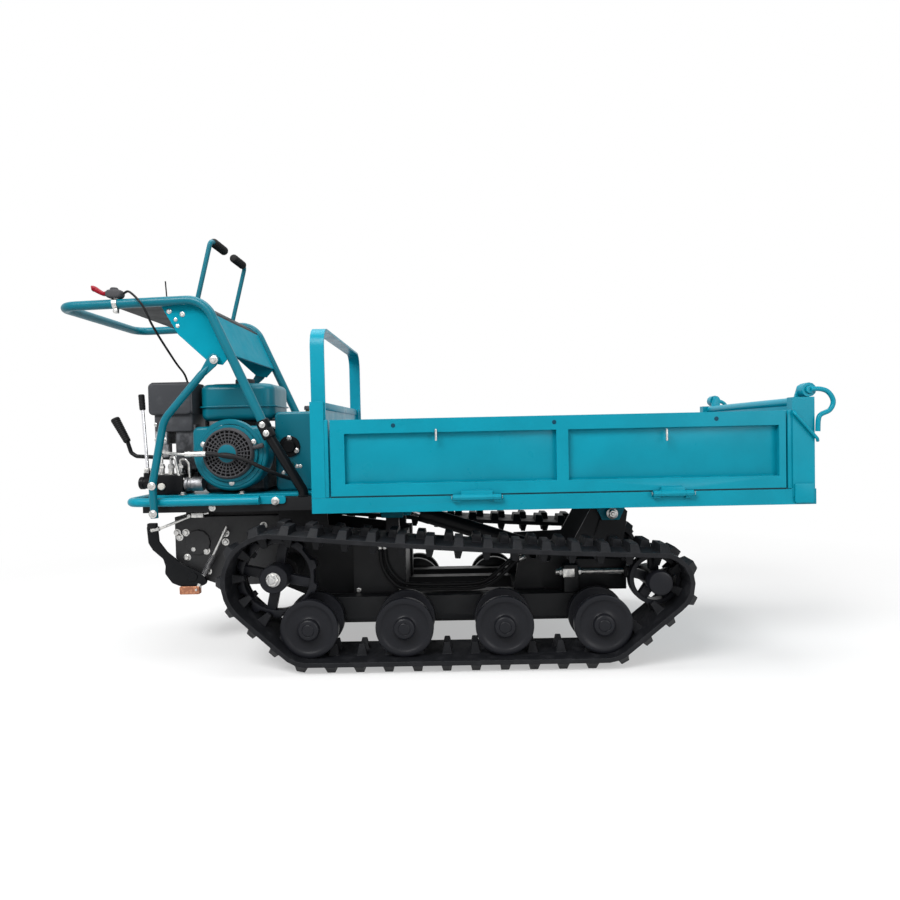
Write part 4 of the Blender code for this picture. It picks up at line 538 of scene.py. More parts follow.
@dataclass
class Studio:
    """Camera at the photograph's angle, soft lamps and a pale floor under a white background."""

    camera_place: Point = (0.065, -2.077, 0.602)
    focal_pixels: float = 691.0
    frame_pixels: float = 900.0
    vanishing: Point = (458.0, 432.0)
    roll: float = 0.021
    sensor: float = 36.0
    clip_start: float = 0.05
    floor_colour: Point = (0.86, 0.86, 0.86)
    floor_half: float = 6.0
    floor_drop: float = 0.0005
    floor_points: int = 25
    floor_glow: float = 0.42
    fade: tuple[float, float] = (1.2, 2.6)
    ambient: float = 0.4
    lamps: tuple = (("key", (-1.4, -2.6, 3.0), (0.0, 0.0, 0.4), (2.0, 1.4), 138.0),
                    ("fill", (2.4, -2.8, 1.4), (0.1, 0.0, 0.4), (1.8, 1.4), 38.0),
                    ("top", (0.0, 0.3, 3.2), (0.0, 0.0, 0.3), (3.0, 2.0), 74.0))

    def camera(self) -> None:
        """Camera whose vanishing point and roll are the photograph's."""
        data = bpy.data.cameras.new("camera")
        data.sensor_width = self.sensor
        data.lens = self.focal_pixels * self.sensor / self.frame_pixels
        data.clip_start = self.clip_start
        right, back = Vector((1.0, 0.0, -self.roll)).normalized(), Vector(NEAR)
        base = Matrix((right, back.cross(right), back)).transposed()
        yaw, pitch = (math.atan((place - self.frame_pixels / 2) / self.focal_pixels) for place in self.vanishing)
        turn = Matrix.Rotation(yaw, 3, "Y") @ Matrix.Rotation(pitch, 3, "X")
        made = linked("camera", data)
        made.matrix_world = Matrix.Translation(self.camera_place) @ (base @ turn).to_4x4()
        bpy.context.scene.camera = made

    def lamp(self, name: str, place: Point, aim: Point, size: Point, power: float) -> None:
        """Soft rectangular lamp.

        Args:
            name: Name of the lamp.
            place: Where it hangs.
            aim: Point that it faces.
            size: Width and height.
            power: Watts.
        """
        data = bpy.data.lights.new(name, "AREA")
        data.shape = "RECTANGLE"
        data.size, data.size_y = size
        data.energy = power
        lamp = linked(name, data)
        lamp.location = place
        lamp.rotation_euler = (Vector(aim) - Vector(place)).to_track_quat("-Z", "Y").to_euler()

    def glow(self, shader: Shader) -> Signal:
        """1 for camera, glossy and transmission rays, and the ambient level for the rest.

        Args:
            shader: Material under construction.

        Returns:
            The strength.
        """
        rays = shader.node("ShaderNodeLightPath")
        seen = shader.maths("MAXIMUM", rays["Is Camera Ray"], rays["Is Glossy Ray"])
        seen = shader.maths("MAXIMUM", seen, rays["Is Transmission Ray"])
        return seen * (1.0 - self.ambient) + self.ambient

    def world(self) -> None:
        """White where it is seen, softer where it lights the machine."""
        shader = Shader("studio", bpy.data.worlds.new("studio"))
        bpy.context.scene.world = shader.material
        shader.set(Color=WHITE, Strength=self.glow(shader))

    def floor(self) -> None:
        """Pale floor that fades to the white background far from the machine."""
        side = np.linspace(-self.floor_half, self.floor_half, self.floor_points)
        grid = np.stack(np.meshgrid(side, side, indexing="ij"), axis=-1).reshape(-1, 2)
        points = np.concatenate((grid, np.full((len(grid), 1), -self.floor_drop)), axis=1)
        mesh = bpy.data.meshes.new("floor")
        mesh.from_pydata(points.tolist(), [], grid_faces(len(side), len(side)).tolist())
        shader = Shader("floor")
        spot = shader.node("ShaderNodeTexCoord")["Object"]
        reach = shader.node("ShaderNodeVectorMath", {"operation": "LENGTH"}, {0: spot})["Value"]
        shader.set(Base_Color=self.floor_colour, Roughness=0.9, Specular_IOR_Level=0.1)
        light = {"Color": (*WHITE, 1.0), "Strength": self.glow(shader)}
        glow = shader.node("ShaderNodeEmission", None, light)["Emission"]
        share = reach.above(*self.fade) * (1.0 - self.floor_glow) + self.floor_glow
        plain = Signal(shader, shader.surface.outputs["BSDF"])
        mixed = shader.node("ShaderNodeMixShader", None, {0: share, 1: plain, 2: glow})["Shader"]
        shader.feed(shader.output.inputs["Surface"], mixed)
        mesh.materials.append(shader.material)
        linked("floor", mesh)

    def build(self) -> None:
        """Camera, world, floor and lamps."""
        bpy.context.scene.view_settings.view_transform = "Standard"
        self.camera()
        self.world()
        self.floor()
        for lamp in self.lamps:
            self.lamp(*lamp)


# Surfaces worked out on grids


def grid_faces(rows: int, columns: int, wrap_rows: bool = False, wrap_columns: bool = False) -> np.ndarray:
    """Quads that join a grid of points kept row by row.

    Face (i, j) joins points (i, j), (i, j + 1), (i + 1, j + 1) and (i + 1, j), with the
    indices taken round where that direction is closed.

    Args:
        rows: Rows of points.
        columns: Points in each row.
        wrap_rows: Whether the last row joins the first.
        wrap_columns: Whether the last column joins the first.

    Returns:
        Index array with four columns.
    """
    i = np.arange(rows if wrap_rows else rows - 1)[:, None]
    j = np.arange(columns if wrap_columns else columns - 1)[None, :]
    after_i, after_j = (i + 1) % rows, (j + 1) % columns
    corners = (i * columns + j, i * columns + after_j, after_i * columns + after_j, after_i * columns + j)
    return np.stack(corners, axis=-1).reshape(-1, 4)


@dataclass
class Skin:
    """Points of a surface, and index arrays of the faces that join them."""

    points: np.ndarray
    faces: list[np.ndarray]


class Plane(Enum):
    """Plane of an outline: which of X, Y and Z its two values and its level are."""

    XY = (0, 1, 2)
    XZ = (0, 2, 1)
    YZ = (1, 2, 0)


def joined(skins: Iterable[Skin]) -> Skin:
    """One skin of several: each one's indices go up by the points before it.

    Args:
        skins: Skins to join, in order.

    Returns:
        The joined skin.
    """
    points, faces, count = [], [], 0
    for skin in skins:
        points.append(skin.points)
        faces += [corners + count for corners in skin.faces]
        count += len(skin.points)
    return Skin(np.concatenate(points), faces)


def mm(table: str) -> tuple:
    """Rows of a table, parted by commas, with their numbers in millimetres made metres."""
    return tuple(tuple(float(word) / 1000 for word in row.split()) for row in table.split(","))


def unit(vector: Point) -> np.ndarray:
    """Vector at length 1."""
    wide = np.asarray(vector, dtype=float)
    return wide / np.linalg.norm(wide)


def axes(direction: Point) -> np.ndarray:
    """Rows u, v and w of a right-handed basis whose w is the direction.

    Args:
        direction: Way that w points, of any length.

    Returns:
        Array with a row for each axis.
    """
    along = unit(direction)
    helper = UP if abs(along[2]) < 0.9 else AHEAD
    across = unit(np.cross(helper, along))
    return np.stack((across, np.cross(along, across), along))


def turned(profile: Sequence[Point], centre: Point, direction: Point, steps: int = 40,
           loop: bool = False) -> Skin:
    """Surface of revolution: point (i, j) = centre + r_i (cos a_j u + sin a_j v) + h_i w.

    Args:
        profile: Rows of radius and height; a radius of 0 closes a pole.
        centre: Point of height 0 on the axis.
        direction: Axis that heights grow along.
        steps: Points round the axis.
        loop: Whether the profile's last row joins its first, as on a ring.

    Returns:
        The turned skin.
    """
    rows = np.asarray(profile, dtype=float)
    basis = axes(direction)
    angle = np.linspace(0.0, 2.0 * np.pi, steps, endpoint=False)
    around = np.stack((np.cos(angle), np.sin(angle)), axis=-1) @ basis[:2]
    points = rows[:, 0, None, None] * around[None] + rows[:, 1, None, None] * basis[2]
    return Skin((points + np.asarray(centre)).reshape(-1, 3), [grid_faces(len(rows), steps, loop, True)])


def drum(rows: Sequence[Point], centre: Point, direction: Point, steps: int = 40) -> Skin:
    """Surface of revolution whose first and last row are closed by flat discs.

    Args:
        rows: Rows of radius and height.
        centre: Point of height 0 on the axis.
        direction: Axis that heights grow along.
        steps: Points round the axis.

    Returns:
        The closed skin.
    """
    profile = np.asarray(rows, dtype=float)
    poles = profile[[0, -1]] * (0.0, 1.0)
    return turned(np.concatenate((poles[:1], profile, poles[1:])), centre, direction, steps)


def mirrored(rows: Sequence[Point]) -> list[Point]:
    """Rows of a profile, then the same rows backwards with their heights turned over."""
    return [*rows, *((radius, -height) for radius, height in rows[::-1])]


def eased(points: Sequence[Point], radius: Union[float, Sequence[float]], closed: bool = False,
          steps: int = 5) -> np.ndarray:
    """Corners rounded by exact arcs, each a rational quadratic whose middle weight is cos(turn / 2).

    Args:
        points: Corners, in two or three dimensions.
        radius: One radius, or one for each corner; 0 keeps a corner sharp.
        closed: Whether the last corner joins the first.
        steps: Stretches in each arc.

    Returns:
        Points along the eased line.
    """
    knots = np.asarray(points, dtype=float)
    back, ahead = np.roll(knots, 1, axis=0) - knots, np.roll(knots, -1, axis=0) - knots
    legs = np.stack((np.linalg.norm(back, axis=1), np.linalg.norm(ahead, axis=1)))
    back, ahead = back / legs[0][:, None], ahead / legs[1][:, None]
    half_turn = np.arccos(np.clip(-(back * ahead).sum(axis=1), -1.0, 1.0)) / 2
    cut = np.minimum(np.broadcast_to(radius, len(knots)) * np.tan(np.minimum(half_turn, 1.5)),
                     0.49 * legs.min(axis=0))
    if not closed:
        cut[[0, -1]] = 0.0
    t = np.linspace(0.0, 1.0, steps + 1)[None, :, None]
    middle = 2 * t * (1 - t) * np.cos(half_turn)[:, None, None]
    start, end = (knots + way * cut[:, None] for way in (back, ahead))
    arcs = (1 - t) ** 2 * start[:, None] + middle * knots[:, None] + t ** 2 * end[:, None]
    line = (arcs / ((1 - t) ** 2 + middle + t ** 2)).reshape(-1, knots.shape[1])
    apart = np.linalg.norm(line - np.roll(line, 1, axis=0), axis=1) > REPEAT
    apart[0] = apart[0] or not closed
    return line[apart]


def smooth(points: Sequence[Point], steps: int = 7) -> np.ndarray:
    """Catmull-Rom curve through its points, with the given stretches between each two.

    Args:
        points: Points in three dimensions.
        steps: Stretches between two of them.

    Returns:
        Points along the curve.
    """
    knots = np.asarray(points, dtype=float)
    first, last = 2 * knots[:1] - knots[1:2], 2 * knots[-1:] - knots[-2:-1]
    padded = np.concatenate((first, knots, last))
    legs = len(knots) - 1
    a, b, c, d = (padded[k:k + legs, None] for k in range(4))
    t = np.linspace(0.0, 1.0, steps, endpoint=False)[None, :, None]
    curve = b + t / 2 * (c - a) + t ** 2 * (a - 2.5 * b + 2 * c - d / 2) + t ** 3 * (1.5 * (b - c) + (d - a) / 2)
    return np.concatenate((curve.reshape(-1, 3), knots[-1:]))


def swept(route: Sequence[Point], profile: np.ndarray, scale: Optional[np.ndarray] = None,
          closed: bool = False, seed: Optional[Point] = None) -> Skin:
    """Profile carried along a route: point (i, j) = route_i + s_i (x_j u_i + y_j v_i).

    u_i is the seed squared to the route's tangent, and v_i stands on both. Without a seed, it is
    the direction in which the tangents spread least, which is square to a flat route.

    Args:
        route: Points along the middle.
        profile: Closed outline as rows of x and y.
        scale: Size of the profile at each point of the route.
        closed: Whether the route's last point joins its first.
        seed: Direction that the profile's x follows.

    Returns:
        The swept skin, with flat ends where the route is open.
    """
    path = np.asarray(route, dtype=float)
    ahead = np.roll(path, -1, axis=0) - np.roll(path, 1, axis=0) if closed else np.gradient(path, axis=0)
    tangent = ahead / np.linalg.norm(ahead, axis=1, keepdims=True)
    if seed is None:
        seed = np.linalg.svd(tangent)[2][-1]
        seed = seed * np.sign(seed[np.argmax(np.abs(seed))])
    side = np.asarray(seed) - (tangent @ np.asarray(seed))[:, None] * tangent
    side /= np.linalg.norm(side, axis=1, keepdims=True)
    up = np.cross(tangent, side)
    size = np.ones(len(path)) if scale is None else np.asarray(scale, dtype=float)
    ring = profile[None, :, :1] * side[:, None] + profile[None, :, 1:] * up[:, None]
    points = path[:, None] + size[:, None, None] * ring
    rows, columns = points.shape[:2]
    faces = [grid_faces(rows, columns, closed, True)]
    if not closed:
        rim = np.arange(columns)
        faces += [rim[None, ::-1], rim[None] + (rows - 1) * columns]
    return Skin(points.reshape(-1, 3), faces)


def ring_profile(radius: float, sides: int = 20) -> np.ndarray:
    """Circle as a closed outline."""
    angle = np.linspace(0.0, 2.0 * np.pi, sides, endpoint=False)
    return radius * np.stack((np.cos(angle), np.sin(angle)), axis=-1)


def rectangle(width: float, depth: float, corner: float, steps: int = 4) -> np.ndarray:
    """Rectangle about zero with round corners."""
    x, y = width / 2, depth / 2
    return eased(((-x, -y), (x, -y), (x, y), (-x, y)), corner, True, steps)


def tube(corners: Sequence[Point], radius: float, bend: Union[float, Sequence[float]] = 0.0,
         sides: int = 20, steps: int = 10) -> Skin:
    """Round bar along corners eased by the bend radius."""
    return swept(eased(corners, bend, False, steps), ring_profile(radius, sides))


def rod(start: Point, end: Point, radius: float, sides: int = 20, edge: float = 0.0008) -> Skin:
    """Straight round bar whose end edges are chamfered.

    Args:
        start: Middle of its first end.
        end: Middle of its last end.
        radius: Radius of the bar.
        sides: Points round it.
        edge: Largest width of a chamfer.

    Returns:
        The closed bar.
    """
    reach = np.subtract(end, start)
    length = float(np.linalg.norm(reach))
    edge = min(edge, radius / 3, length / 3)
    rows = ((radius - edge, 0.0), (radius, edge), (radius, length - edge), (radius - edge, length))
    return drum(rows, start, reach, sides)


def inset(outline: np.ndarray, depth: float) -> np.ndarray:
    """Outline moved inwards by depth: each point goes along the mitre of its two edges' normals.

    Args:
        outline: Closed outline.
        depth: Distance inwards; below 0 it goes outwards.

    Returns:
        The moved outline.
    """
    edge = np.roll(outline, -1, axis=0) - outline
    normal = np.stack((-edge[:, 1], edge[:, 0]), axis=-1) / np.linalg.norm(edge, axis=1, keepdims=True)
    before = np.roll(normal, 1, axis=0)
    mitre = (normal + before) / (1 + (normal * before).sum(axis=1))[:, None]
    area = (outline[:, 0] * edge[:, 1] - outline[:, 1] * edge[:, 0]).sum()
    return outline + np.sign(area) * depth * mitre


def rim_rows(low: float, high: float, edge: float, steps: int) -> tuple[np.ndarray, np.ndarray]:
    """Inset and level of each row of a slab whose two rims are quarter rounds of radius edge.

    Args:
        low: Lower level.
        high: Upper level.
        edge: Radius of the rims.
        steps: Stretches in each rim.

    Returns:
        Insets and levels, row by row.
    """
    turn = np.linspace(0.0, np.pi / 2, steps + 1)
    inward = edge * (1 - np.sin(turn))
    depth = edge * (1 - np.cos(turn))
    return np.concatenate((inward, inward[::-1])), np.concatenate((low + depth, high - depth[::-1]))


def laid(flat: np.ndarray, levels: np.ndarray, plane: Plane) -> np.ndarray:
    """Rows of an outline and their levels as points: (a, b, level) put in the plane's order.

    Args:
        flat: Rows of an outline.
        levels: Level of each row.
        plane: Plane of the outline.

    Returns:
        Points, row by row.
    """
    height = np.broadcast_to(levels[:, None, None], flat.shape[:2] + (1,))
    stacked = np.concatenate((flat, height), axis=-1)
    return stacked[..., np.argsort(plane.value)].reshape(-1, 3)


def slab(outline: Sequence[Point], low: float, high: float, edge: float = 0.001,
         plane: Plane = Plane.XZ, steps: int = 2) -> Skin:
    """Flat piece between two levels: row i is the outline inset by the quarter round of its rim.

    Args:
        outline: Closed outline in the plane.
        low: Lower level.
        high: Upper level.
        edge: Radius of the rims.
        plane: Plane of the outline.
        steps: Rows in each rim.

    Returns:
        The closed slab.
    """
    shape = np.asarray(outline, dtype=float)
    inward, levels = rim_rows(min(low, high), max(low, high), edge, steps)
    flat = np.stack([inset(shape, depth) for depth in inward])
    rows, columns = flat.shape[:2]
    rim = np.arange(columns)
    faces = [grid_faces(rows, columns, False, True), rim[None, ::-1], rim[None] + (rows - 1) * columns]
    return Skin(laid(flat, levels, plane), faces)


def ring_plate(outer: np.ndarray, inner: np.ndarray, low: float, high: float, edge: float = 0.001,
               plane: Plane = Plane.XZ, steps: int = 2) -> Skin:
    """Slab with one opening, whose outline has as many points as the outer one; its rows close up.

    Args:
        outer: Outer outline.
        inner: Outline of the opening.
        low: Lower level.
        high: Upper level.
        edge: Radius of the rims.
        plane: Plane of the outlines.
        steps: Stretches in each rim.

    Returns:
        The closed plate.
    """
    inward, levels = rim_rows(min(low, high), max(low, high), edge, steps)
    outside = np.stack([inset(outer, depth) for depth in inward])
    inside = np.stack([inset(inner, -depth) for depth in inward])[::-1]
    flat = np.concatenate((outside, inside))
    rows, columns = flat.shape[:2]
    return Skin(laid(flat, np.concatenate((levels, levels[::-1])), plane), [grid_faces(rows, columns, True, True)])


def block(low: Point, high: Point, corner: float = 0.002, edge: float = 0.001, plane: Plane = Plane.XY,
          steps: int = 3) -> Skin:
    """Box between two opposite corners with round edges: a slab of its round-cornered rectangle.

    Args:
        low: One corner.
        high: The opposite corner.
        corner: Radius of the outline's corners.
        edge: Radius of the rims.
        plane: Plane of the outline.
        steps: Stretches in each corner and rim.

    Returns:
        The closed block.
    """
    first, second, across = plane.value
    centre = ((low[first] + high[first]) / 2, (low[second] + high[second]) / 2)
    outline = rectangle(abs(high[first] - low[first]), abs(high[second] - low[second]), corner, steps) + centre
    return slab(outline, low[across], high[across], edge, plane, steps)


def aimed(outline: np.ndarray, way: Point, centre: Point) -> np.ndarray:
    """Flat outline whose x runs along a direction: each point is centre + x u + y v."""
    u = unit(way)
    return outline[:, :1] * u + outline[:, 1:] * (-u[1], u[0]) + centre


def fan(skin: Skin, count: int, centre: Point, second: Point, start: float = 0.0) -> list[Skin]:
    """Copies of a skin turned evenly round a centre: each point is centre + x u + y v + z w.

    Args:
        skin: Skin made about zero.
        count: Number of copies.
        centre: Where its zero goes.
        second: Direction that the copies turn to from +X.
        start: Share of a step that the first copy is turned by.

    Returns:
        The copies.
    """
    made = []
    for turn in 2 * np.pi * (np.arange(count) + start) / count:
        u, v = (np.cos(a) * np.array(AHEAD) + np.sin(a) * np.array(second) for a in (turn, turn + np.pi / 2))
        made.append(Skin(skin.points @ np.stack((u, v, np.cross(AHEAD, second))) + centre, skin.faces))
    return made


def copies(skin: Skin, spots: Sequence[Point], direction: Point = UP, turn: float = 0.0) -> Skin:
    """A skin made along +Z, turned about its axis, aimed along a direction and set down at each spot.

    Args:
        skin: Skin made about zero.
        spots: Where its zero goes.
        direction: Way that its +Z is aimed.
        turn: Degrees that it is turned by.

    Returns:
        One skin of all copies.
    """
    angle = math.radians(turn)
    spin = np.array(((math.cos(angle), math.sin(angle), 0.0), (-math.sin(angle), math.cos(angle), 0.0),
                     (0.0, 0.0, 1.0)))
    ready = skin.points @ spin @ axes(direction)
    places = np.asarray(spots, dtype=float).reshape(-1, 1, 3)
    points = (ready[None] + places).reshape(-1, 3)
    shifts = np.arange(len(places)) * len(skin.points)
    faces = [(face[None] + shifts[:, None, None]).reshape(-1, face.shape[1]) for face in skin.faces]
    return Skin(points, faces)


def bolts(width: float, spots: Sequence[Point], way: Point = UP, turn: float = 0.0, stud: float = 0.0) -> Skin:
    """Hexagon heads on washers; with a stud they are nuts on thread ends.

    Args:
        width: Width across the flats.
        spots: Middle of each washer's foot.
        way: Direction that the heads stand in.
        turn: Degrees that they are turned by.
        stud: How far the thread stands out of a nut.

    Returns:
        One skin of all of them.
    """
    thick, tall, flat = 0.13 * width, 0.55 * width, width / math.sqrt(3.0)
    washer = ((0.8 * width, 0.0), (0.84 * width, 0.3 * thick), (0.84 * width, 0.8 * thick), (0.78 * width, thick))
    head = ((0.96 * flat, thick), (flat, 1.5 * thick), (flat, tall - 0.08 * width), (0.86 * flat, tall))
    tip = ((0.27 * width, tall - thick), (0.27 * width, tall + stud - 0.05 * width), (0.2 * width, tall + stud))
    parts = [(washer, 20), (head, 6)] + [(tip, 12)] * bool(stud)
    return copies(joined(drum(rows, (0, 0, 0), UP, steps) for rows, steps in parts), spots, way, turn)


def flank_bolts(*rows: tuple) -> list[Skin]:
    """Bolts on both flanks, from rows of width, distance from the middle, places as X and Z, turn and any stud."""
    return [bolts(width, [(x, side * y, z) for x, z in places], (0.0, side, 0.0), turn, *stud)
            for _, side in SIDES for width, y, places, turn, *stud in rows]


def bead(route: Sequence[Point], radius: float) -> Skin:
    """Weld bead: a round bar whose size ripples once for each radius of its length.

    Args:
        route: Points along the joint.
        radius: Radius of the bead.

    Returns:
        The rippled bar.
    """
    path = np.asarray(route, dtype=float)
    run = np.concatenate(((0.0,), np.cumsum(np.linalg.norm(np.diff(path, axis=0), axis=1))))
    count = max(8, int(run[-1] / radius * 3))
    along = np.linspace(0.0, run[-1], count)
    line = np.stack([np.interp(along, run, path[:, axis]) for axis in range(3)], axis=-1)
    ripple = 1.0 + 0.16 * np.sin(along / radius * 2.0 * np.pi / 1.1)
    ends = np.clip(np.minimum(along, run[-1] - along) / radius, 0.25, 1.0)
    return swept(line, ring_profile(radius, 7), ripple * ends)


def spring(start: Point, end: Point, radius: float, wire: float, turns: float) -> Skin:
    """Coil: its wire's middle is centre + radius (cos a u + sin a v) + share of the reach.

    Args:
        start: Middle of its first end.
        end: Middle of its last end.
        radius: Radius of the coil.
        wire: Radius of the wire.
        turns: Number of turns.

    Returns:
        The coiled wire.
    """
    reach = np.subtract(end, start)
    basis = axes(reach)
    share = np.linspace(0.0, 1.0, int(turns * 14))
    angle = share * turns * 2.0 * np.pi
    around = radius * (np.cos(angle)[:, None] * basis[0] + np.sin(angle)[:, None] * basis[1])
    route = np.asarray(start) + around + share[:, None] * reach
    return swept(route, ring_profile(wire, 6), None, False, basis[2])


def grip(start: Point, end: Point, radii: tuple[float, float], ribs: int, depth: float = 0.0009) -> Skin:
    """Handle grip: radius from end to end, with ribs of a raised cosine and two round ends.

    Args:
        start: Middle of its first end.
        end: Middle of its last end.
        radii: Radius at the first and at the last end.
        ribs: Number of ribs.
        depth: Depth of the grooves between them.

    Returns:
        The closed grip.
    """
    reach = np.subtract(end, start)
    length = float(np.linalg.norm(reach))
    share = np.linspace(0.0, 1.0, ribs * 6 + 1)
    size = radii[0] + (radii[1] - radii[0]) * share - depth * (0.5 + 0.5 * np.cos(share * ribs * 2 * np.pi))
    cap = np.linspace(0.0, np.pi / 2, 5)
    round_off = 0.35 * min(radii)
    foot = np.stack((size[0] - round_off * (1 - np.sin(cap)), round_off * (1 - np.cos(cap))), axis=-1)
    head = np.stack((size[-1] - round_off * (1 - np.sin(cap[::-1])), length - round_off * (1 - np.cos(cap[::-1]))),
                    axis=-1)
    body = np.stack((size, round_off + share * (length - 2 * round_off)), axis=-1)[1:-1]
    return drum(np.concatenate((foot, body, head)), start, reach, 24)


def register(name: str, mesh: bpy.types.Mesh, finish: Finish, body: Body, solid: str,
             crease: float = CREASE) -> bpy.types.Object:
    """Object of a mesh, with its finish, its body and the solid that it stands for, if any.

    Args:
        name: Name of the object.
        mesh: Its surface.
        finish: Finish of the surface.
        body: Body that it rides on.
        solid: Solid of the frame that it stands for, if any.
        crease: Angle in degrees above which an edge looks sharp.

    Returns:
        The object.
    """
    mesh.shade_smooth()
    mesh.set_sharp_from_angle(angle=math.radians(crease))
    mesh.materials.append(finish.material())
    made = linked(name, mesh)
    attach(made, body.value)
    if solid:
        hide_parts(solid)
    LOG.info("%s: %d faces on %s", name, len(mesh.polygons), body.value)
    return made


def show(name: str, finish: Finish, *skins: Skin, body: Body = Body.CHASSIS, solid: str = "") -> None:
    """One visible piece: its skins joined in one mesh, whose poles and seams are closed.

    Args:
        name: Name of the piece.
        finish: Finish of its surface.
        skins: Surfaces that it is made of.
        body: Body that it rides on.
        solid: Solid of the frame that it stands for, if any.
    """
    skin = joined(skins)
    mesh = bpy.data.meshes.new(name)
    mesh.from_pydata(skin.points.tolist(), [], [face for part in skin.faces for face in part.tolist()])
    work = bmesh.new()
    work.from_mesh(mesh)
    bmesh.ops.remove_doubles(work, verts=work.verts, dist=WELD)
    bmesh.ops.recalc_face_normals(work, faces=work.faces)
    work.to_mesh(mesh)
    work.free()
    register(name, mesh, finish, body, solid)


def recast(node: str, finish: Finish, edge: float = 0.0015, body: Body = Body.CHASSIS, segments: int = 2,
           crease: float = CREASE) -> None:
    """Solid of the frame with its edges rounded and its round faces smooth.

    Args:
        node: Name of the solid.
        finish: Finish of the new surface.
        edge: Width of its rounded edges in metres.
        body: Body that carries it.
        segments: Rows in each rounded edge.
        crease: Angle in degrees above which an edge stays sharp to the eye.
    """
    work = bmesh.new()
    work.from_mesh(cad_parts[node].data)
    bmesh.ops.remove_doubles(work, verts=work.verts, dist=WELD)
    bmesh.ops.dissolve_limit(work, angle_limit=math.radians(FLAT_ANGLE), verts=work.verts, edges=work.edges)
    mesh = bpy.data.meshes.new(f"{node}_surface")
    work.to_mesh(mesh)
    work.free()
    mesh.materials.clear()
    made = register(f"{node}_surface", mesh, finish, body, node, crease)
    rounding = made.modifiers.new("rounded edges", "BEVEL")
    rounding.width = edge
    rounding.segments = segments
    rounding.limit_method = "ANGLE"
    rounding.angle_limit = math.radians(BEVEL_ANGLE)
    rounding.harden_normals = True


# Undercarriage


def spokes(centre: Point, count: int, first: float, reach: tuple[float, float], width: float,
           half: float) -> list[Skin]:
    """Flat spokes in the XZ plane, evenly round a centre.

    Args:
        centre: Middle of the wheel.
        count: Number of spokes.
        first: Angle of the first one in degrees.
        reach: Radii where a spoke starts and ends.
        width: Width of a spoke.
        half: Half of its thickness.

    Returns:
        One slab for each spoke.
    """
    outline = rectangle(reach[1] - reach[0], width, 0.001, 1) + (sum(reach) / 2, 0.0)
    turns = [math.radians(first + 360 / count * index) for index in range(count)]
    return [slab(aimed(outline, (math.cos(turn), math.sin(turn)), (centre[0], centre[2])),
                 centre[1] - half, centre[1] + half, 0.0015) for turn in turns]


